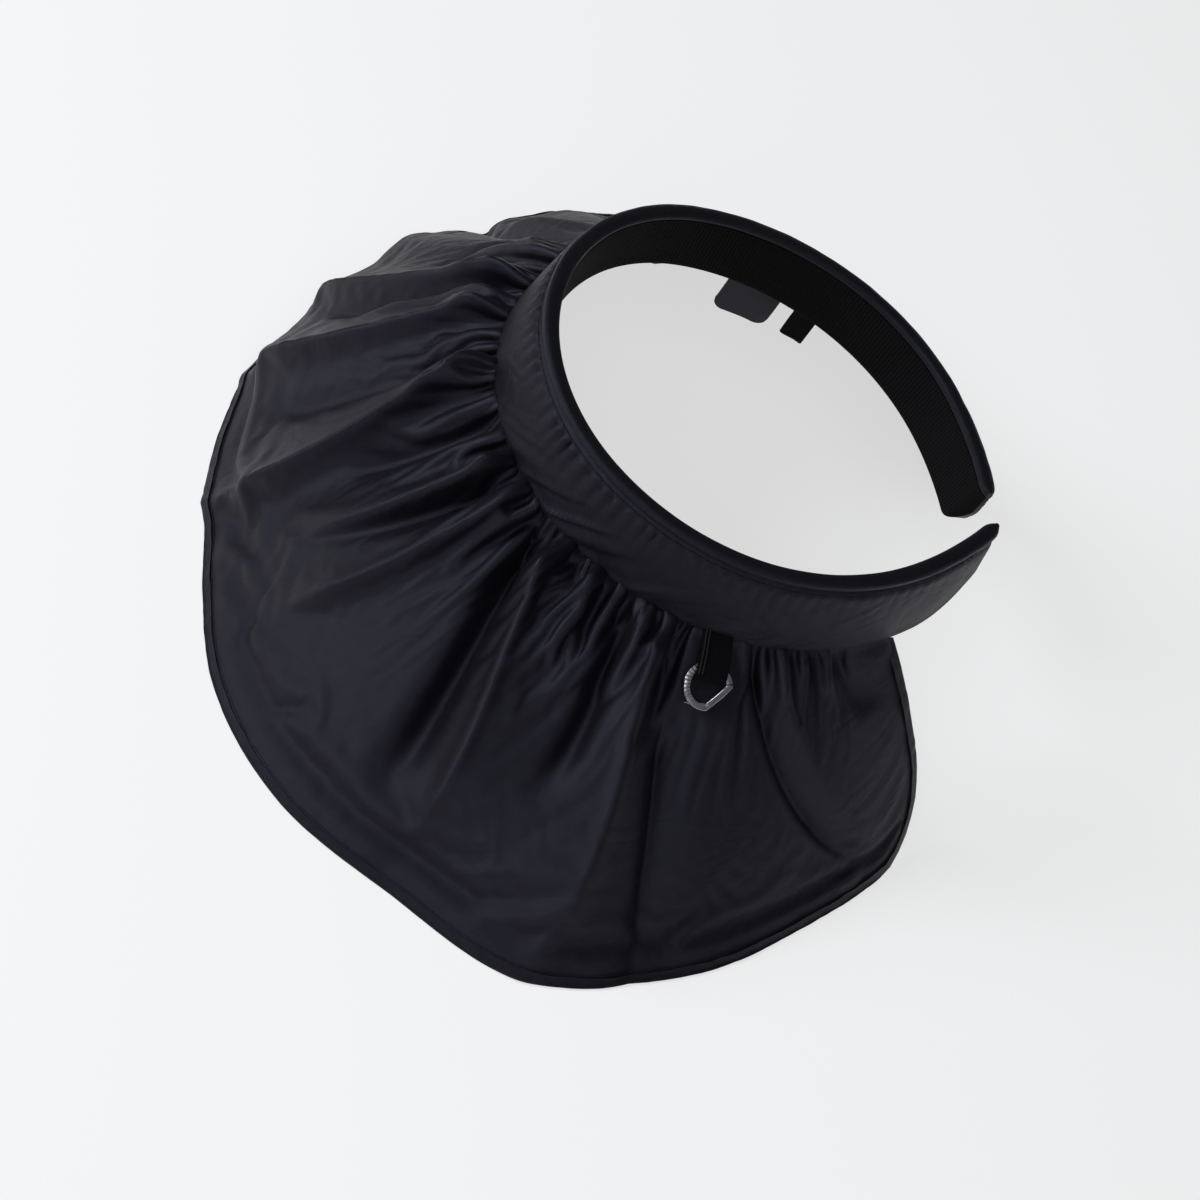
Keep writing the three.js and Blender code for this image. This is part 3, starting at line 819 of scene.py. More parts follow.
def copies_of(name, pattern, places):
    """One mesh of many copies of a small pattern mesh. Each place is a 4 by 4 matrix in metres."""
    count = len(pattern.data.vertices)
    corners = np.zeros(count * 3)
    pattern.data.vertices.foreach_get("co", corners)
    corners = np.c_[corners.reshape(-1, 3), np.ones(count)]
    faces = [tuple(polygon.vertices) for polygon in pattern.data.polygons]
    points = np.concatenate([corners @ np.asarray(matrix).T[:, :3] for matrix in places])
    every = [tuple(v + count * i for v in face) for i in range(len(places)) for face in faces]
    data = bpy.data.meshes.new(name)
    data.from_pydata(points.tolist(), [], every)
    obj = bpy.data.objects.new(name, data)
    bpy.context.scene.collection.objects.link(obj)
    bpy.data.objects.remove(pattern)
    return obj


def points_at(places, run, line):
    """Points of a line at places along it. run says how far along each of its own points is."""
    return np.stack([np.interp(places, run, column) for column in line.T], axis=1)


def stitch_pattern(length, thick):
    """One stitch: a short thread with round ends, lying along X."""
    deselect_all()
    size = {"radius": thick / 2 * MM, "depth": length * MM}
    bpy.ops.mesh.primitive_cylinder_add(vertices=6, rotation=(0, math.pi / 2, 0), **size)
    obj = bpy.context.active_object
    bpy.ops.object.transform_apply(location=True, rotation=True, scale=True)
    apply_modifier(obj, "BEVEL", "round ends", width=thick * 0.3 * MM, segments=1)
    return obj


def stitch_row(name, line, normals, pitch, length, thick, sink=0.25):
    """Stitches along a line of points in millimetres, pressed into the surface."""
    steps = np.linalg.norm(np.diff(line, axis=0), axis=1)
    run = np.concatenate([[0], np.cumsum(steps)])
    at = np.arange(pitch / 2, run[-1], pitch)
    middle = points_at(at, run, line)
    along = unit(points_at(at + 0.4, run, line) - points_at(at - 0.4, run, line))
    up = points_at(at, run, normals)
    side = unit(np.cross(up, along))
    up = np.cross(along, side)
    middle = middle + up * (thick * (0.5 - sink))
    places = []
    for x, y, z, centre in zip(along, side, up, middle):
        matrix = np.eye(4)
        matrix[:3, 0], matrix[:3, 1], matrix[:3, 2], matrix[:3, 3] = x, y, z, centre * MM
        places.append(matrix)
    return copies_of(name, stitch_pattern(length, thick), places)


# Materials.


class Signal:
    """An output of a shader node. Python arithmetic on it adds Math nodes to its tree."""

    def __init__(self, shader, socket):
        self.shader = shader
        self.socket = socket

    def math(self, operation, *others):
        return self.shader.math(operation, self, *others)

    def __add__(self, other):
        return self.math("ADD", other)

    __radd__ = __add__

    def __sub__(self, other):
        return self.math("SUBTRACT", other)

    def __rsub__(self, other):
        return self.shader.math("SUBTRACT", other, self)

    def __mul__(self, other):
        return self.math("MULTIPLY", other)

    __rmul__ = __mul__


class Shader:
    """A material's node tree, filled from Python expressions."""

    def __init__(self, name):
        self.material = bpy.data.materials.new(name)
        self.material.use_nodes = True
        self.tree = self.material.node_tree
        self.tree.nodes.clear()

    def node(self, kind, settings, values, output=0):
        """Adds a node: its settings are set first, then its sockets' values or links."""
        made = self.tree.nodes.new(kind)
        for key, value in settings.items():
            setattr(made, key, value)
        for key, value in values.items():
            if isinstance(value, Signal):
                self.tree.links.new(value.socket, made.inputs[key])
            else:
                made.inputs[key].default_value = value
        return Signal(self, made.outputs[output]) if made.outputs else made

    def math(self, operation, *values):
        """A Math node on numbers or signals."""
        return self.node("ShaderNodeMath", {"operation": operation}, dict(enumerate(values)))

    def uv(self):
        """The piece's own UV map, in metres: along the cloth and down it."""
        vector = self.node("ShaderNodeUVMap", {"uv_map": "cloth"}, {})
        return [self.node("ShaderNodeSeparateXYZ", {}, {0: vector}, axis) for axis in (0, 1)]

    def vector(self, x, y, z=0.0):
        return self.node("ShaderNodeCombineXYZ", {}, {0: x, 1: y, 2: z})

    def noise(self, vector, scale, detail=2.0, distortion=0.0):
        values = {"Vector": vector, "Scale": scale, "Detail": detail, "Distortion": distortion}
        return self.node("ShaderNodeTexNoise", {}, values)

    def wave(self, place, pitch):
        """A sine along a place in metres, with a pitch in millimetres."""
        return self.math("SINE", place * (2 * math.pi / (pitch * MM)))

    def object_place(self):
        return self.node("ShaderNodeTexCoord", {}, {}, "Object")

    def ramp(self, value, low, high):
        values = {"Value": value, "From Min": low, "From Max": high}
        return self.node("ShaderNodeMapRange", {"clamp": True, "interpolation_type": "SMOOTHSTEP"}, values)

    def mix(self, share, first, second):
        """A colour between two colours."""
        return self.node("ShaderNodeMix", {"data_type": "RGBA"}, {0: share, 6: first, 7: second}, 2)

    def bump(self, height, distance, strength=1.0):
        return self.node("ShaderNodeBump", {}, {"Height": height, "Distance": distance, "Strength": strength})

    def surface(self, **sockets):
        """The Principled shader. Words of the socket names are joined by underscores."""
        values = {key.replace("_", " "): value for key, value in sockets.items()}
        shader = self.node("ShaderNodeBsdfPrincipled", {}, values)
        self.node("ShaderNodeOutputMaterial", {}, {"Surface": shader})
        return self.material


def rgba(colour, share=1.0):
    """A colour for a socket, darker or lighter by a share."""
    return (colour[0] * share, colour[1] * share, colour[2] * share, 1.0)


# The finishes. Scales of noise are in cells per metre, and pitches and places in millimetres.
# Numbers with the words bump or rough say how much of a pattern goes to the surface's height or
# roughness. A height of 1 is as deep as BUMP_DEPTH, in metres.
BUMP_DEPTH = 0.001
satin = SimpleNamespace(
    thread_fine=2600,
    thread_long=90,
    crumple_scale=70.0,
    crumple_distortion=0.6,
    tone_scale=24.0,
    crease_scale=34.0,
    crease_distortion=1.2,
    streak_tone=0.35,
    cloud_tone=0.65,
    tone_from=0.35,
    tone_to=0.85,
    darkest=0.8,
    lightest=1.25,
    weave_bump=0.03,
    streak_bump=0.045,
    streak_rough=0.12,
    tint=(0.76, 0.74, 1.0, 1.0),
    sheen_tint=(0.7, 0.72, 1.0, 1.0),
)
knit = SimpleNamespace(
    rib_pitch=1.5,
    loop_pitch=0.7,
    loop_shift=2.0,
    fuzz_scale=1400.0,
    border_from=5,
    border_full=4.5,
    darkest=0.55,
    lightest=1.4,
    # The share of the lining's colour that is painted shade of the ribs; the rest is random tone from the
    # fuzz.
    rib_shade_share=0.7,
    rib_bump=0.4,
    loop_bump=0.06,
    fuzz_bump=0.12,
    fuzz_rough=0.15,
)
tape_weave = SimpleNamespace(
    across=1.1,
    down=0.8,
    fuzz_scale=1800.0,
    tone_to=1.2,
    darkest=0.6,
    lightest=1.5,
    weave_bump=0.1,
    fuzz_bump=0.08,
    fuzz_rough=0.15,
)
thread_twist = SimpleNamespace(scale=3000.0, darkest=0.7, lightest=1.3, rough=0.2, depth=0.0002)
plating = SimpleNamespace(
    smear_scale=500.0,
    groove_pitch=1.3,
    groove_from=0.1,
    groove_to=0.6,
    first=6,
    last=24,
    edge=2,
    # How much darker the grooves' colour is painted: painted shade in the grooves.
    groove_shade=0.75,
    darkest=0.25,
    smear_rough=0.1,
    groove_rough=0.15,
    smear_bump=0.05,
    groove_bump=0.25,
)
floor_grain = SimpleNamespace(scale=3.0, darkest=0.99, glow=1.4)


def satin_cloth(name, colour, roughness, thread=0.5, crumple=0.25, crease=0.8):
    """Satin-like woven cloth: threads, faint streaks along both threads and soft small crumples."""
    shader = Shader(name)
    u, v = shader.uv()
    flat = shader.vector(u, v)
    weave = shader.wave(u, thread) * shader.wave(v, thread)
    warp = shader.noise(shader.vector(u * satin.thread_fine, v * satin.thread_long), 1.0)
    weft = shader.noise(shader.vector(u * satin.thread_long, v * satin.thread_fine), 1.0)
    streaks = warp + weft
    crumples = shader.noise(flat, satin.crumple_scale, detail=3.0, distortion=satin.crumple_distortion)
    tone = shader.noise(flat, satin.tone_scale, detail=4.0)
    mottle = streaks * satin.streak_tone + tone * satin.cloud_tone
    share = shader.ramp(mottle, satin.tone_from, satin.tone_to)
    ridges = shader.noise(flat, satin.crease_scale, distortion=satin.crease_distortion)
    creases = shader.math("ABSOLUTE", ridges - 0.5)
    height = weave * satin.weave_bump + streaks * satin.streak_bump
    height = height + crumples * crumple + creases * crease
    return shader.surface(
        Base_Color=shader.mix(share, rgba(colour, satin.darkest), rgba(colour, satin.lightest)),
        Roughness=roughness + (streaks - 1.0) * satin.streak_rough,
        Specular_IOR_Level=0.3,
        Specular_Tint=satin.tint,
        Sheen_Weight=0.02,
        Sheen_Roughness=0.35,
        Sheen_Tint=satin.sheen_tint,
        Normal=shader.bump(height, BUMP_DEPTH),
    )


def ribbed_knit(name, colour):
    """The matt lining with fine upright ribs, and a plain border at its ends. The ribs' grooves are painted
    darker and their crests lighter, as painted shade, mixed with random tone from the fuzz.
    """
    shader = Shader(name)
    u, v = shader.uv()
    border_at = ((hoop_half - knit.border_from) * MM, (hoop_half - knit.border_full) * MM)
    border = shader.ramp(shader.math("ABSOLUTE", u), *border_at)
    rib = shader.math("ABSOLUTE", shader.wave(u, 2 * knit.rib_pitch)) * (1.0 - border)
    turn = 2 * math.pi / (knit.loop_pitch * MM)
    loops = shader.math("SINE", v * turn + rib * knit.loop_shift)
    fuzz = shader.noise(shader.vector(u, v), knit.fuzz_scale, detail=3.0)
    # Colour from the ribs is painted shade, darker in their grooves; colour from the fuzz is random tone.
    share = rib * knit.rib_shade_share + fuzz * (1 - knit.rib_shade_share)
    height = rib * knit.rib_bump + loops * knit.loop_bump + fuzz * knit.fuzz_bump
    return shader.surface(
        Base_Color=shader.mix(share, rgba(colour, knit.darkest), rgba(colour, knit.lightest)),
        Roughness=0.82 + fuzz * knit.fuzz_rough,
        Specular_IOR_Level=0.12,
        Sheen_Weight=0.02,
        Sheen_Roughness=0.5,
        Normal=shader.bump(height, BUMP_DEPTH),
    )


def woven_tape(name, colour):
    """Matt webbing with a coarse weave."""
    shader = Shader(name)
    u, v = shader.uv()
    weave = shader.wave(u, tape_weave.across) * shader.wave(v, tape_weave.down)
    fuzz = shader.noise(shader.vector(u, v), tape_weave.fuzz_scale)
    share = shader.ramp(weave * 0.5 + fuzz, 0.0, tape_weave.tone_to)
    height = weave * tape_weave.weave_bump + fuzz * tape_weave.fuzz_bump
    return shader.surface(
        Base_Color=shader.mix(share, rgba(colour, tape_weave.darkest), rgba(colour, tape_weave.lightest)),
        Roughness=0.8 + fuzz * tape_weave.fuzz_rough,
        Specular_IOR_Level=0.12,
        Normal=shader.bump(height, BUMP_DEPTH),
    )


def thread_cord(name, colour):
    """Sewing thread."""
    shader = Shader(name)
    twist = shader.noise(shader.object_place(), thread_twist.scale, detail=1.0)
    dark = rgba(colour, thread_twist.darkest)
    return shader.surface(
        Base_Color=shader.mix(twist, dark, rgba(colour, thread_twist.lightest)),
        Roughness=0.5 + twist * thread_twist.rough,
        Specular_IOR_Level=0.4,
        Normal=shader.bump(twist, thread_twist.depth),
    )


def ring_plate(name, colour):
    """Dark bright-plated metal, with plain cross grooves round the middle of the bow. The grooves are painted
    darker in colour, as painted shade in them.
    """
    shader = Shader(name)
    u, v = shader.uv()
    smear = shader.noise(shader.vector(u, v), plating.smear_scale)
    groove = shader.ramp(shader.wave(u, plating.groove_pitch), plating.groove_from, plating.groove_to)
    begins = shader.ramp(u, plating.first * MM, (plating.first + plating.edge) * MM)
    ends = shader.ramp(u, plating.last * MM, (plating.last + plating.edge) * MM)
    cut = groove * (begins * (1.0 - ends))
    # The grooves are painted darker: painted shade in the grooves, on top of their bump.
    share = cut * plating.groove_shade
    return shader.surface(
        Base_Color=shader.mix(share, rgba(colour), rgba(colour, plating.darkest)),
        Metallic=1.0,
        Roughness=0.16 + smear * plating.smear_rough + cut * plating.groove_rough,
        Normal=shader.bump(smear * plating.smear_bump - cut * plating.groove_bump, BUMP_DEPTH),
    )


def plain_floor(name, colour):
    """The pale floor, with a faint glow of its own."""
    shader = Shader(name)
    grain = shader.noise(shader.object_place(), floor_grain.scale)
    return shader.surface(
        Base_Color=shader.mix(grain, rgba(colour, floor_grain.darkest), rgba(colour)),
        Roughness=0.9,
        Specular_IOR_Level=0.1,
        Emission_Color=rgba(colour),
        Emission_Strength=floor_grain.glow,
    )


# Settings that a user would change.


def colour_setting(name, description, default):
    return FloatVectorProperty(name=name, description=description, default=default, size=3, subtype="COLOR")


class SunHatSizes(bpy.types.PropertyGroup):
    """Sizes and counts of the cloth's meshes."""

    brim_columns: IntProperty(
        name="Brim columns", description="Cells round the brim", default=640, min=64, max=640, step=16
    )
    brim_rows: IntProperty(
        name="Brim rows", description="Cells from the seam to the hem", default=64, min=16, max=128, step=16
    )
    cloth_thickness: FloatProperty(
        name="Cloth thickness",
        description="Thickness of the brim's cloth",
        default=brim_size.cloth * MM,
        unit="LENGTH",
    )
    stitch_pitch: FloatProperty(
        name="Stitch pitch", description="Distance between stitches", default=0.0031, unit="LENGTH"
    )


class SunHatColours(bpy.types.PropertyGroup):
    """Colours of the cloths, tape and metal."""

    brim: colour_setting("Brim", "Satin cloth of the brim and its binding", (0.0050, 0.0046, 0.0064))
    band: colour_setting("Band", "Satin cloth of the headband", (0.0049, 0.0046, 0.0062))
    trim: colour_setting("Trim", "Cloth of the rim, and the thread", (0.0040, 0.0039, 0.0054))
    lining: colour_setting("Lining", "Ribbed sweatband", (0.0014, 0.0013, 0.0019))
    tape: colour_setting("Tape", "Webbing and ribbon", (0.0022, 0.0020, 0.0028))
    label: colour_setting("Label", "Bare care label", (0.012, 0.012, 0.014))
    metal: colour_setting("Metal", "Plating of the ring", (0.5, 0.5, 0.52))


class SunHatStage(bpy.types.PropertyGroup):
    """Floor, light and camera."""

    floor: colour_setting("Floor", "Pale floor", (0.450, 0.450, 0.447))
    lamp: colour_setting("Lamp colour", "Colour of both soft lights", (0.91, 0.94, 1.0))
    surround: colour_setting("Surround colour", "Colour of the pale surround", (0.93, 0.96, 1.0))
    key: FloatProperty(
        name="Key light", description="Power of the soft light at the left", default=17.5, unit="POWER"
    )
    front: FloatProperty(
        name="Front light", description="Power of the light at the camera", default=8, unit="POWER"
    )
    fill: FloatProperty(name="Surround", description="Strength of the pale surround", default=0.12, min=0)
    lens: FloatProperty(name="Lens", description="Focal length", default=0.09595, unit="CAMERA")


def settings():
    return bpy.context.scene.sun_hat_sizes


def colours():
    return bpy.context.scene.sun_hat_colours


# The pieces.


def hem_shares(inset, count):
    """Shares across the brim at an inset from the hem: count straight ones and both corners."""
    straight = (brim_size.hem_half - brim_size.corner_radius) / (brim_size.hem_half - inset)
    flat = np.linspace(-straight, straight, count)
    end = straight + (1 - straight) * np.sin(np.radians(brim_net.corner_turns))
    return np.concatenate([-end[::-1], flat, end])


def brim_grid(inset):
    """Shares across and down the brim, closer together at its rear corners and its seam."""
    sizes = settings()
    across = hem_shares(inset, sizes.brim_columns + 1 - 2 * len(brim_net.corner_turns))
    down = np.linspace(0, 1, sizes.brim_rows + 1) ** brim_net.crowding
    return np.meshgrid(across, down)


def neighbours(field, rows, columns):
    """Two views of a field over the cloth's grid: each point, and the one rows down and columns on."""
    high, wide = field.shape[:2]
    left = max(0, -columns)
    here = field[: high - rows, left : wide - max(0, columns)]
    there = field[rows:, left + columns : wide + min(0, columns)]
    return here, there


def twice_as_fine(field, axis):
    """A field over a grid with a new value half way between each two, on a smooth curve."""
    field = np.moveaxis(field, axis, 0)
    longer = np.concatenate([2 * field[:1] - field[1:2], field, 2 * field[-1:] - field[-2:-1]])
    fine = np.empty((2 * len(field) - 1, *field.shape[1:]))
    fine[::2] = field
    fine[1::2] = (9 * (longer[1:-2] + longer[2:-1]) - longer[:-3] - longer[3:]) / 16
    return np.moveaxis(fine, 0, axis)


def thread_length(start, cut, part, rows, columns):
    """How long the cloth is cut between points so many rows and columns apart."""
    here, there = neighbours(start, rows, columns)
    length = np.linalg.norm(there - here, axis=-1)
    wider, _ = neighbours(cut.wider[part], rows, columns)
    if rows == 0:
        return length * wider
    if columns == 0:
        return length * cut.higher
    slant, _ = neighbours(cut.slant[part], rows, columns)
    return length * ((wider + cut.higher) / 2 + slant * np.sign(columns))


def settle_level(start, off, lengths, hold, rounds, cut, furthest):
    """Settles cloth on one grid. off is how far its points already lie from their start."""
    give = (1 - hold)[..., None]
    points = start + off
    before = points.copy()
    for _ in range(rounds):
        speed = (points - before) * settling.carry
        before = points.copy()
        points = points + speed * give
        points[..., 2] -= cut.weight * give[..., 0]
        points += (start - points) * (cut.anchor * give)
        for thread, length in zip(settling.threads, lengths):
            here, there = neighbours(points, thread["rows"], thread["columns"])
            give_here, give_there = neighbours(give, thread["rows"], thread["columns"])
            gap = there - here
            now = np.linalg.norm(gap, axis=-1)
            strength = np.where(now > length, thread["pull"], thread["push"])
            share = strength * settling.step * (now - length) / np.maximum(now, 1e-6)
            move = gap * share[..., None]
            here += move * give_here
            there -= move * give_there
        off = points - start
        far = np.linalg.norm(off, axis=-1, keepdims=True)
        points = start + off * np.minimum(1, furthest / np.maximum(far, 1e-6))
        points[..., 2] = np.maximum(points[..., 2], brim_size.cloth / 2)
    return points - start


def settle_cloth(start, hold, cut, seed):
    """Lets cloth find its own folds. start is a grid of points in millimetres and hold says how
    firmly each keeps its place. cut says how much wider and higher than that the cloth is, its
    slant and weight, how strongly it is drawn back to its start and how far it may go."""
    draw = np.random.default_rng(seed)
    off = None
    for level in settling.levels:
        part = (slice(None, None, level["stride"]),) * 2
        off = np.zeros_like(start[part]) if off is None else twice_as_fine(twice_as_fine(off, 0), 1)
        off = off + draw.normal(0, settling.shake, off.shape) * (1 - hold[part])[..., None]
        lengths = [thread_length(start[part], cut, part, t["rows"], t["columns"]) for t in settling.threads]
        furthest = np.broadcast_to(cut.furthest, (*start.shape[:2], 1))[part]
        off = settle_level(start[part], off, lengths, hold[part], level["rounds"], cut, furthest)
    return start + off


class SunHatBrim(bpy.types.Operator):
    """The wide gathered brim"""

    bl_idname = "mesh.sun_hat_brim"
    bl_label = "Brim"

    def execute(self, context):
        inset = binding_size.width * brim_net.overlap
        across, down = brim_grid(inset)
        points = face_point(across, down, inset, np.zeros(across.shape))
        along, low = place(across, down, inset)
        cut = np.stack([along * stretch_at(low), low * meridian(along)], axis=-1) * MM
        obj = grid_piece("brim_cloth", points, cut)
        settled = settle_cloth(points, self.hold(down, along, low), self.cut(along, low), seed=71)
        settled[..., 2] += drape.tuck * (1 - smooth(low / drape.tuck_run))
        set_points(obj.data, settled)
        obj["flat_area"] = self.flat_area(points, self.cut(along, low))
        thicken(obj, settings().cloth_thickness, use_even_offset=False)
        shade(obj)
        material = satin_cloth("brim satin", colours().brim, 0.42)
        finish_piece(obj, material, "brim_cloth", "brim")
        return {"FINISHED"}

    def flat_area(self, points, cut):
        """The cloth's area before it is gathered, in square metres."""
        across = np.linalg.norm(np.diff(points, axis=1), axis=2)[:-1] * cut.wider[:-1, :-1]
        down = np.linalg.norm(np.diff(points, axis=0), axis=2)[:, :-1] * cut.higher
        return round(float(np.sum(across * down)) * MM * MM, 4)

    def cut(self, along, low):
        """The cut of the cloth: wide enough at the seam for its gathers, and calm at the rear."""
        calm = smooth((brim_size.half - np.abs(along)) / drape.rear_calm)
        spare = drape.spare * calm * (1 + drape.uneven * wander(along, drape.uneven_run, 61))
        wider = 1 + spare * np.exp(-low / drape.run) + drape.middle * smooth((1 - low) / drape.middle_run)
        near_seam = drape.least + (1 - drape.least) * smooth(low / drape.seam_run)
        near_hem = drape.least + (1 - drape.least) * smooth((1 - low) / drape.hem_run)
        hidden = smooth((-along - drape.far_from) / drape.far_run)
        hidden = hidden * smooth((drape.far_low - low) / drape.far_low_run)
        reach = drape.furthest * near_seam * near_hem * (1 - drape.far_calm * hidden)
        return SimpleNamespace(
            wider=wider,
            higher=1.0,
            slant=np.zeros(wider.shape),
            weight=drape.weight,
            anchor=drape.anchor,
            furthest=reach[..., None],
        )

    def hold(self, down, along, low):
        """Full hold at the seam, hem, rear edges and webbing loop, and none in between."""
        seam = 1 - smooth(low / brim_hold.seam)
        hem = 1 - smooth((1 - down - brim_hold.hem) / brim_hold.hem_run)
        rear = 1 - smooth((brim_size.half - np.abs(along) - brim_hold.rear) / brim_hold.rear_run)
        calm = 1 - smooth((np.abs(along - tab.along) - brim_hold.loop) / brim_hold.loop_run)
        calm = calm * (1 - smooth((low - brim_hold.loop_low) / brim_hold.loop_low_run))
        return np.maximum(np.maximum(seam, hem), np.maximum(rear, calm))


class SunHatBinding(bpy.types.Operator):
    """The folded strip round the brim's hem and rear edges"""

    bl_idname = "mesh.sun_hat_binding"
    bl_label = "Hem binding"

    def execute(self, context):
        rear = np.linspace(binding_size.start, 1, binding_size.rear_steps)[:-1]
        hem = hem_shares(binding_size.width, binding_size.hem_steps)
        across = np.concatenate([-np.ones(len(rear)), hem, np.ones(len(rear))])
        down = np.concatenate([rear, np.ones(len(hem)), rear[::-1]])
        inset, lift = self.section()
        middle = binding_size.width / 2
        middles = face_point(across, down, np.full(across.shape, middle), np.zeros(across.shape))
        run = np.concatenate([[0], np.cumsum(np.linalg.norm(np.diff(middles, axis=0), axis=1))])
        loose = binding_wander
        pucker = wander(run, loose.fine_run, 3) * loose.fine + wander(run, loose.broad_run, 4) * loose.broad
        rows = []
        for row_inset, row_lift in zip(inset, lift):
            uneven = 1 + loose.thick * wander(run + row_inset, loose.thick_run, 5)
            shaped = row_lift * uneven + pucker * loose.lift
            edge = row_inset + loose.edge * wander(run, loose.edge_run, 6) * (row_inset > middle)
            rows.append(face_point(across, down, np.maximum(0, edge), shaped))
        points = np.stack(rows, axis=0)
        steps = np.hypot(np.diff(inset), np.diff(lift))
        girth = np.concatenate([[0], np.cumsum(steps)])
        cut = np.stack(np.meshgrid(run, girth), axis=-1) * MM
        obj = grid_piece("hem_binding_cloth", points, cut)
        thicken(obj, binding_size.cloth * MM)
        keep_on_floor(obj)
        shade(obj, 60)
        material = satin_cloth("binding satin", colours().brim, 0.46, crumple=0.4)
        finish_piece(obj, material, "binding_cloth", "hem_binding")
        return {"FINISHED"}

    def section(self):
        """The folded strip's section, from its upper edge round the hem to its lower edge."""
        half = binding_size.wall / 2
        turn = np.radians(np.linspace(90, -90, binding_size.turn_steps))
        leg = np.linspace(binding_size.width, half, binding_size.leg_steps)[:-1]
        under = np.linspace(binding_size.width + binding_size.under_more, half, binding_size.leg_steps)[:-1]
        inset = np.concatenate([leg, half - half * np.cos(turn), under[::-1]])
        lift = np.concatenate([np.full(len(leg), half), half * np.sin(turn), np.full(len(under), -half)])
        return inset, lift


class SunHatBand(bpy.types.Operator):
    """The padded outer headband, with its puckers and wrinkles"""

    bl_idname = "mesh.sun_hat_band"
    bl_label = "Headband"

    def execute(self, context):
        along = hoop_stations(stations.band)
        share = band_share(along)
        top = rim_size.outer_drop - band_face.tuck
        raised = far_foot.rise * smooth((-along - far_foot.start) / far_foot.run)
        height = top + (band_size.height - top) * share - raised
        pad_foot = top + (lining_size.height + band_size.pad_below_lining - top) * share
        rows, cut_rows = self.outer_face(along, share, top, height)

        def add(out, up, cut_down):
            rows.append(hoop_surface(along, out, up))
            cut_rows.append(np.stack([along, np.broadcast_to(cut_down, along.shape)], axis=-1))

        foot_out = rim_size.thick + band_flare(along) * share
        for angle in band_size.foot_turns:
            out = foot_out - band_size.foot / 2 * share * (1 - np.cos(angle))
            add(out, -(height + band_size.foot_drop * share * np.sin(angle)), height + angle)
        under_drop = pad_foot * band_size.underside_drop + height * (1 - band_size.underside_drop)
        add(foot_out * band_size.underside, -under_drop, height + band_size.under_cut)
        inner = lining_size.wall + seat_gap
        for drop in (pad_foot, (pad_foot + top) / 2, np.full(along.shape, top + band_size.inner_top)):
            add(inner - drop * lining_size.lean, -drop, height + band_size.inner_cut)
        rows.append(rows[0])
        cut_rows.append(cut_rows[0])
        points = np.stack(rows, axis=0)
        obj = wrap_closed(grid_piece("band_cloth", points, np.stack(cut_rows, axis=0) * MM))
        shade(obj, 50)
        material = satin_cloth("band satin", colours().band, 0.5, crumple=0.6, crease=2.0)
        finish_piece(obj, material, "band_cloth", "band")
        return {"FINISHED"}

    def outer_face(self, along, share, top, height):
        """The cloth over the padding, settled with its spare width, slant and puckers."""
        part = np.linspace(0, 1, band_face.rows)[:, None]
        drop = top + (height - top) * part
        places = np.broadcast_to(along, drop.shape)
        out = band_out(along, part) + band_wrinkle(places, drop, part) * share
        start = hoop_surface(places, out, -drop)
        near = near_front_left(along)
        spare = puff.top * np.exp(-part / puff.top_run) + puff.foot * np.exp((part - 1) / puff.foot_run)
        upper = 1 - smooth((part - puff.held) / puff.held_run)
        hold = np.maximum(upper, 1 - smooth((1 - part) / puff.foot_held))
        ends = 1 - smooth((hoop_half - np.abs(along)) / puff.ends_held)
        cut = SimpleNamespace(
            wider=1 + spare * near,
            higher=puff.height,
            slant=np.broadcast_to(puff.slant * wander(along, puff.slant_run, 27) * near, drop.shape),
            weight=0.0,
            anchor=puff.anchor,
            furthest=puff.furthest,
        )
        settled = settle_cloth(start, np.maximum(np.broadcast_to(hold, drop.shape), ends), cut, seed=72)
        return list(settled), list(np.stack([places, drop], axis=-1))


def band_out(along, part):
    """How far out the band's cloth lies, part of the way from the rim to the foot."""
    fuller = (band_flare(along) + band_face.fuller) * band_share(along)
    return rim_size.thick - band_face.under_rim + fuller * part**band_face.curve


def near_front_left(along):
    """How near a place is to the part of the band that has most of its spare cloth, 1 to 0."""
    return np.exp(-(((along - puff.middle_at) / puff.spread) ** 2))


def band_wrinkle(along, drop, part):
    """Where the band's cloth first stands out or in, in millimetres, before it settles."""
    depth = drop - rim_size.outer_drop
    below = depth - wrinkle.stitch_drop
    near = near_front_left(along)
    seams = wrinkle.rim_groove * np.exp(-((depth / wrinkle.rim_groove_width) ** 2))
    seams = seams + wrinkle.stitch_groove * np.exp(-((below / wrinkle.stitch_groove_width) ** 2))
    spacing = along + wrinkle.pucker_wander * wander(along, wrinkle.pucker_wander_run, 21)
    puckers = np.abs(np.sin(np.pi * spacing / wrinkle.pucker_pitch)) - wrinkle.pucker_level
    uneven = wrinkle.pucker_least + wrinkle.pucker_uneven * wander(along, wrinkle.pucker_uneven_run, 22)
    fade = np.exp(-below / wrinkle.pucker_fade) * smooth(below / wrinkle.pucker_start)
    puckers = puckers * uneven * fade * wrinkle.pucker * near
    slanted = along * wrinkle.diagonal_slope + depth
    patch = smooth(cloudy(along, drop, wrinkle.patch, 25) + wrinkle.patch_level) * near
    ridge = wrinkle.diagonal_level - np.abs(wander(slanted, wrinkle.diagonal_run, 23))
    broad = cloudy(along, drop, wrinkle.broad_size, 26) * wrinkle.broad
    body = smooth(part / wrinkle.top_run) * smooth((1 - part) / wrinkle.foot_run)
    return puckers - seams + (ridge * wrinkle.diagonal * patch + broad) * body


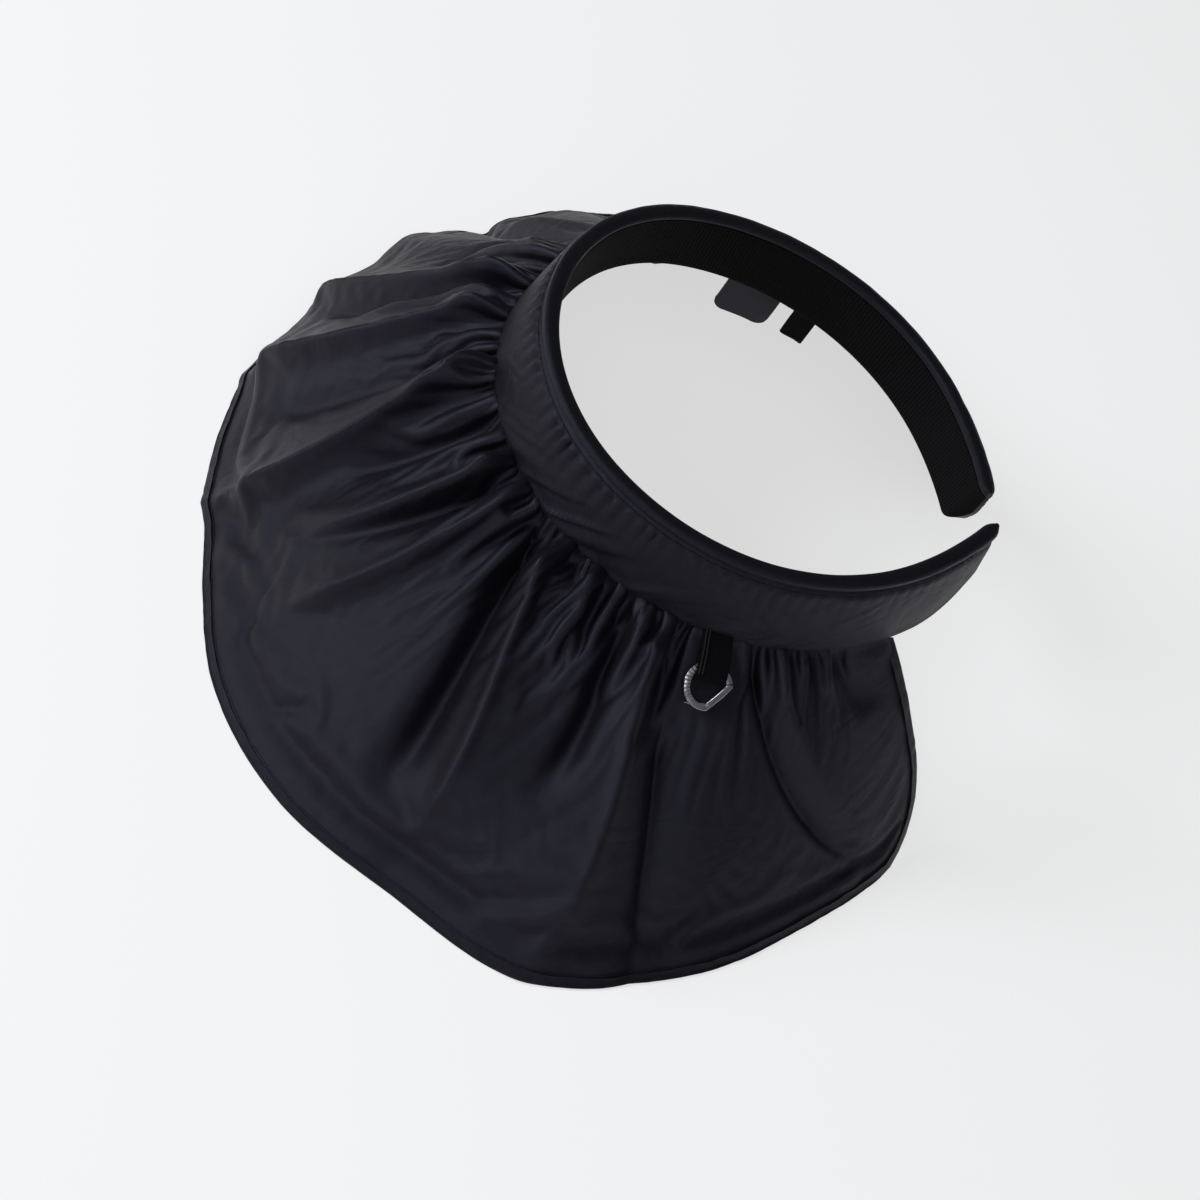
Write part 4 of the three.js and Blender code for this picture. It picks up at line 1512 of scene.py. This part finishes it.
class SunHatRim(bpy.types.Operator):
    """The smooth rolled strip on top of the headband"""

    bl_idname = "mesh.sun_hat_rim"
    bl_label = "Rim"

    def execute(self, context):
        along = hoop_stations(stations.rim)
        middle_out = rim_size.thick / 2
        rows = []
        for angle in np.radians(np.arange(0, 360, rim_roll.turn)):
            flat = np.sign(np.cos(angle)) * abs(np.cos(angle)) ** rim_roll.squareness
            out = middle_out + (middle_out + rim_roll.overhang) * flat
            rise = np.sin(angle)
            half_height = rim_roll.crown if rise > 0 else rim_roll.underside
            up = rim_roll.middle_up + half_height * np.sign(rise) * abs(rise) ** rim_roll.roundness
            ripple = rim_roll.ripple * wander(along, rim_roll.ripple_run, 31) * (flat > 0)
            turned = along + rim_roll.twist_turn * angle
            ripple = ripple + rim_roll.twist * wander(turned, rim_roll.twist_run, 32)
            rows.append(hoop_surface(along, out + ripple, up + ripple * rim_roll.ripple_up))
        rows.append(rows[0])
        cut = np.stack(np.meshgrid(along, np.linspace(0, rim_roll.girth, len(rows))), axis=-1) * MM
        obj = wrap_closed(grid_piece("rim_cloth", np.stack(rows, axis=0), cut))
        shade(obj, 60)
        material = satin_cloth("rim satin", colours().trim, 0.46, crumple=0.2)
        finish_piece(obj, material, "rim_cloth", "rim")
        return {"FINISHED"}


class SunHatLining(bpy.types.Operator):
    """The ribbed sweatband inside the headband"""

    bl_idname = "mesh.sun_hat_lining"
    bl_label = "Lining"

    def execute(self, context):
        along = hoop_stations(stations.lining)
        share = band_share(along)
        top = rim_size.inner_drop - lining_face.tuck
        foot = top + (lining_size.height - top) * share
        rows = []
        drops = []
        for part in np.linspace(0, 1, lining_face.rows):
            drop = top + (foot - top) * part
            soft = lining_face.soft * cloudy(along, drop, lining_face.soft_size, 41)
            soft = soft * smooth(part / lining_face.soft_from)
            rows.append(hoop_surface(along, -drop * lining_size.lean + soft, -drop))
            drops.append(drop)
        for angle in np.radians([45, 90, 135]):
            out = lining_size.wall / 2 * (1 - np.cos(angle)) - foot * lining_size.lean
            rows.append(hoop_surface(along, out, -foot - lining_face.foot_drop * np.sin(angle)))
            drops.append(foot + angle)
        for part in (1, 0.5, 0):
            drop = top + (foot - top) * part
            rows.append(hoop_surface(along, lining_size.wall - drop * lining_size.lean, -drop))
            drops.append(2 * foot + 2 - drop)
        rows.append(rows[0])
        drops.append(drops[0])
        cut = np.stack([np.stack([along, drop], axis=-1) for drop in drops], axis=0) * MM
        obj = wrap_closed(grid_piece("lining_knit", np.stack(rows, axis=0), cut))
        shade(obj, 60)
        finish_piece(obj, ribbed_knit("lining knit", colours().lining), "lining_cloth", "lining")
        return {"FINISHED"}


def smooth_path(corners, count):
    """A smooth line through corner points, evenly spaced."""
    corners = np.asarray(corners, float)
    for _ in range(4):
        before = corners[:-1] * 0.75 + corners[1:] * 0.25
        after = corners[:-1] * 0.25 + corners[1:] * 0.75
        middle = np.stack([before, after], axis=1).reshape(-1, corners.shape[1])
        corners = np.concatenate([corners[:1], middle, corners[-1:]])
    run = np.concatenate([[0], np.cumsum(np.linalg.norm(np.diff(corners, axis=0), axis=1))])
    at = np.linspace(0, run[-1], count)
    return points_at(at, run, corners), at


def leg_lifts():
    """How high the loop's back leg, its front leg and the front leg's top lie over the cloth."""
    back = brim_size.cloth / 2 + tab_lie.over + tab.wall / 2
    front = back + tab.wall + ring.thick + tab_lie.over
    return back, front, back + tab.wall + tab_lie.top_over


class SunHatRingTab(bpy.types.Operator):
    """The folded webbing loop that carries the ring"""

    bl_idname = "mesh.sun_hat_ring_tab"
    bl_label = "Webbing loop"

    def execute(self, context):
        back, front, front_top = leg_lifts()
        turn = (front - back) / 2
        fold = tab.length - turn - tab.wall / 2
        high = (tab.top + tab_lie.high, front_top + tab_lie.high_lift)
        path = [(tab.top, front_top), high, (tab.top + tab_lie.low, front)]
        for angle in np.radians([90, 60, 30, 0, -30, -60, -90]):
            path.append((fold + turn * math.cos(angle), back + turn + turn * math.sin(angle)))
        path += [(tab.top + tab_lie.low, back), (tab.top, back)]
        line, run = smooth_path(path, 90)
        aside = np.linspace(-tab.width / 2, tab.width / 2, 17)
        drop = np.broadcast_to(line[:, :1], (len(line), len(aside)))
        lift = np.broadcast_to(line[:, 1:], (len(line), len(aside)))
        bowed = lift + tab_lie.bow * np.cos(np.pi * aside / tab.width)[None, :]
        points = over_brim(tab.centre + aside[None, :], drop, bowed)
        cut = np.stack(np.meshgrid(aside, run), axis=-1) * MM
        obj = grid_piece("ring_tab_webbing", points, cut)
        thicken(obj, tab.wall * MM)
        round_edges(obj, tab.edge, segments=2, angle=50)
        shade(obj, 50)
        finish_piece(obj, woven_tape("webbing", colours().tape), "webbing", "ring_tab")
        rib = self.ribs(line[(line[:, 0] < fold) & (np.arange(len(line)) < len(line) // 2)])
        return {"FINISHED"}

    def ribs(self, line):
        """The raised threads down the loop's front leg, joined to one piece."""
        ribs = []
        for number, place_at in enumerate(tab_rib.places):
            aside = tab.centre - tab.width / 2 + place_at
            lift = line[:, 1] + tab.wall / 2 + tab_rib.lift
            points = over_brim(aside, line[:, 0], lift)
            normals = unit(over_brim(aside, line[:, 0], lift + 1) - points)
            thread = (tab_rib.pitch, tab_rib.length, tab_rib.thick, tab_rib.sink)
            ribs.append(stitch_row(f"ring_tab_rib_{number}", points, normals, *thread))
        make_active(ribs[0])
        for rib in ribs[1:]:
            rib.select_set(True)
        bpy.ops.object.join()
        rib = bpy.context.active_object
        rib.name = "ring_tab_rib"
        shade(rib, 60)
        return finish_piece(rib, thread_cord("tab thread", colours().tape), "webbing")


class SunHatRing(bpy.types.Operator):
    """The flat-faced metal D-ring"""

    bl_idname = "mesh.sun_hat_ring"
    bl_label = "D-ring"

    def execute(self, context):
        bow = np.radians(np.linspace(ring.bar_from, ring.bar_to, ring.bow_steps))
        line = np.stack([np.cos(bow), np.sin(bow)], axis=1) * ring.radius
        bar = np.linspace(line[-1], line[0], ring.bar_steps)[1:-1]
        line = np.concatenate([line, bar])
        deselect_all()
        bpy.ops.mesh.primitive_circle_add(vertices=len(line), radius=1, fill_type="NGON")
        obj = bpy.context.active_object
        obj.name = obj.data.name = "d_ring_metal"
        outward = unit(line)
        outer = line + outward * ring.face / 2
        set_points(obj.data, np.c_[outer, np.zeros(len(line))])
        bpy.ops.object.mode_set(mode="EDIT")
        bpy.ops.mesh.select_all(action="SELECT")
        bpy.ops.mesh.inset(thickness=ring.face * MM, depth=0, use_boundary=True)
        bpy.ops.mesh.delete(type="FACE")
        bpy.ops.object.mode_set(mode="OBJECT")
        thicken(obj, ring.thick * MM)
        round_edges(obj, ring.edge, segments=3, angle=60)
        self.seat(obj)
        shade(obj, 40)
        finish_piece(obj, ring_plate("ring plate", colours().metal), "ring_metal", "d_ring")
        return {"FINISHED"}

    def seat(self, obj):
        """Moves the flat ring to its place in the loop, sloping from the loop to the cloth."""
        data = obj.data
        flat = np.zeros(len(data.vertices) * 3)
        data.vertices.foreach_get("co", flat)
        flat = flat.reshape(-1, 3) / MM
        drop = flat[:, 1] + ring.drop
        back, _, _ = leg_lifts()
        in_loop = back + tab.wall / 2 + ring.gap + ring.thick / 2
        on_cloth = brim_size.cloth / 2 + ring.gap + ring.thick / 2
        lift = in_loop + (on_cloth - in_loop) * smooth((drop - ring.drop) / ring.radius)
        points = over_brim(flat[:, 0] + ring.centre, drop, lift + flat[:, 2])
        set_points(data, points)
        while data.uv_layers:
            data.uv_layers.remove(data.uv_layers[0])
        data.uv_layers.new(name="cloth")
        angle = np.degrees(np.arctan2(flat[:, 1], flat[:, 0])) % 360
        travel = (angle - ring.bar_from) % 360
        set_cut(data, np.stack([np.radians(travel) * ring.radius, flat[:, 2]], axis=1) * MM)


def hanging_cloth(name, strip, rows, columns, curl):
    """A strip of cloth that hangs from the lining's lower edge."""
    aside, part = np.meshgrid(np.linspace(-1, 1, columns), np.linspace(0, 1, rows))
    aside = aside * strip.width / 2
    past = np.maximum(0, np.abs(aside) - strip.width / 2 + strip.corner)
    length = strip.length - (strip.corner - np.sqrt(np.maximum(0, strip.corner**2 - past**2)))
    top = lining_size.height - hanging.tuck
    inner = -lining_size.height * lining_size.lean + lining_size.wall / 2
    drop = top + (length + hanging.tuck) * part
    wave = hanging.wave * np.sin(aside / strip.width * hanging.across + part * hanging.down) * part
    out = inner + curl * (part**2) + wave
    points = stood(on_hat(strip.along + aside, out, -drop))
    cut = np.stack([aside, drop], axis=-1) * MM
    obj = grid_piece(name, points, cut)
    thicken(obj, strip.wall * MM)
    shade(obj, 60)
    return obj


class SunHatLabels(bpy.types.Operator):
    """The bare care label and the ribbon loop inside the headband"""

    bl_idname = "mesh.sun_hat_labels"
    bl_label = "Label and ribbon"

    def execute(self, context):
        paper = hanging_cloth("care_label_cloth", label, rows=40, columns=48, curl=0.8)
        material = satin_cloth("label satin", colours().label, 0.55, thread=0.4, crumple=0.2)
        finish_piece(paper, material, "label_cloth", "care_label")
        ribbon = hanging_cloth("loop_tab_ribbon", loop_tab, rows=30, columns=20, curl=0.4)
        finish_piece(ribbon, woven_tape("ribbon", colours().tape), "webbing", "loop_tab")
        return {"FINISHED"}


class SunHatStitches(bpy.types.Operator):
    """Stitches along the hem and under the rim"""

    bl_idname = "mesh.sun_hat_stitches"
    bl_label = "Stitches"

    def execute(self, context):
        pitch = settings().stitch_pitch / MM
        across = np.linspace(-stitches.hem_share, stitches.hem_share, stitches.points)
        inset = np.full(across.shape, binding_size.width + stitches.from_binding)
        ones = np.ones(across.shape)
        line = face_point(across, ones, inset, ones * (brim_size.cloth / 2))
        above = face_point(across, ones, inset, ones * (brim_size.cloth / 2 + 1))
        hem_thread = (pitch, pitch * stitches.hem_length, stitches.hem_thick)
        hem = stitch_row("hem_stitches", line, unit(above - line), *hem_thread)
        finish_piece(hem, thread_cord("hem thread", colours().trim), "binding_cloth")
        end = hoop_half - stitches.from_end
        along = np.linspace(-end, end, stitches.points)
        part = wrinkle.stitch_drop / (band_size.height - rim_size.outer_drop)
        out = band_out(along, part) - stitches.pressed
        up = -(rim_size.outer_drop + wrinkle.stitch_drop)
        line = hoop_surface(along, out, up)
        beside = hoop_surface(along, out + 1, up)
        rim_thread = (pitch * stitches.rim_pitch, pitch * stitches.rim_length, stitches.rim_thick)
        under_rim = stitch_row("rim_stitches", line, unit(beside - line), *rim_thread)
        finish_piece(under_rim, thread_cord("rim thread", colours().trim), "rim_cloth")
        return {"FINISHED"}


# The studio, in metres: two soft square lights, and the camera with its own back and right.
studio = SimpleNamespace(
    floor_size=8,
    key_at=(0.15, -1.35, 1.15),
    key_size=0.9,
    front_at=(1.25, 0.05, 1.5),
    front_size=1.2,
    aim=(0, 0, 0.06),
    camera_at=(0.8109, -0.0217, 0.944),
    camera_back=(0.6425, -0.0287, 0.7658),
    camera_right=(-0.2712, 0.9261, 0.2623),
    sensor_width=36,
)


class SunHatStageMaker(bpy.types.Operator):
    """The pale floor, the soft studio light and the camera"""

    bl_idname = "scene.sun_hat_stage"
    bl_label = "Stage"

    def execute(self, context):
        scene = context.scene
        stage = scene.sun_hat_stage
        deselect_all()
        bpy.ops.mesh.primitive_plane_add(size=studio.floor_size, location=(0, 0, 0))
        floor = context.active_object
        floor.name = "floor"
        floor.data.materials.append(plain_floor("pale floor", stage.floor))
        world = bpy.data.worlds.new("pale surround")
        scene.world = world
        world.use_nodes = True
        background = world.node_tree.nodes["Background"]
        background.inputs["Color"].default_value = rgba(stage.surround)
        background.inputs["Strength"].default_value = stage.fill
        self.add_light("key light", studio.key_at, stage.key, studio.key_size, stage.lamp)
        self.add_light("front light", studio.front_at, stage.front, studio.front_size, stage.lamp)
        scene.view_settings.view_transform = "Standard"
        scene.view_settings.look = "None"
        self.add_camera(scene, stage.lens)
        return {"FINISHED"}

    def add_light(self, name, place_at, power, size, colour):
        bpy.ops.object.light_add(type="AREA", location=place_at)
        lamp = bpy.context.active_object
        lamp.name = name
        lamp.data.energy = power
        lamp.data.size = size
        lamp.data.color = colour
        aim = Vector(studio.aim) - Vector(place_at)
        lamp.rotation_euler = aim.to_track_quat("-Z", "Y").to_euler()

    def add_camera(self, scene, lens):
        data = bpy.data.cameras.new("camera")
        data.lens = lens / MM
        data.sensor_width = studio.sensor_width
        camera = bpy.data.objects.new("camera", data)
        scene.collection.objects.link(camera)
        back = Vector(studio.camera_back).normalized()
        right = Vector(studio.camera_right)
        right = (right - back * right.dot(back)).normalized()
        up = back.cross(right)
        turn = Matrix((right, up, back)).transposed().to_4x4()
        camera.matrix_world = Matrix.Translation(studio.camera_at) @ turn
        scene.camera = camera


PIECES = (
    SunHatStageMaker,
    SunHatBrim,
    SunHatBinding,
    SunHatBand,
    SunHatRim,
    SunHatLining,
    SunHatRingTab,
    SunHatRing,
    SunHatLabels,
    SunHatStitches,
)
GROUPS = {
    "sun_hat_sizes": SunHatSizes,
    "sun_hat_colours": SunHatColours,
    "sun_hat_stage": SunHatStage,
}


class VIEW3D_PT_sun_hat(bpy.types.Panel):
    """Lists the hat's pieces and settings"""

    bl_label = "Sun Hat"
    bl_idname = "VIEW3D_PT_sun_hat"
    bl_space_type = "VIEW_3D"
    bl_region_type = "UI"
    bl_category = "Sun Hat"

    def draw(self, context):
        for piece in PIECES:
            self.layout.operator(piece.bl_idname)
        for group in GROUPS:
            owner = getattr(context.scene, group)
            for name in owner.__annotations__:
                self.layout.prop(owner, name)


def register():
    for cls in (*GROUPS.values(), *PIECES, VIEW3D_PT_sun_hat):
        bpy.utils.register_class(cls)
    for name, cls in GROUPS.items():
        setattr(bpy.types.Scene, name, PointerProperty(type=cls))


def unregister():
    for name in GROUPS:
        delattr(bpy.types.Scene, name)
    for cls in reversed((*GROUPS.values(), *PIECES, VIEW3D_PT_sun_hat)):
        bpy.utils.unregister_class(cls)


def main():
    register()
    deselect_all()
    for piece in PIECES:
        area, name = piece.bl_idname.split(".")
        getattr(getattr(bpy.ops, area), name)()


if __name__ == "__main__":
    main()
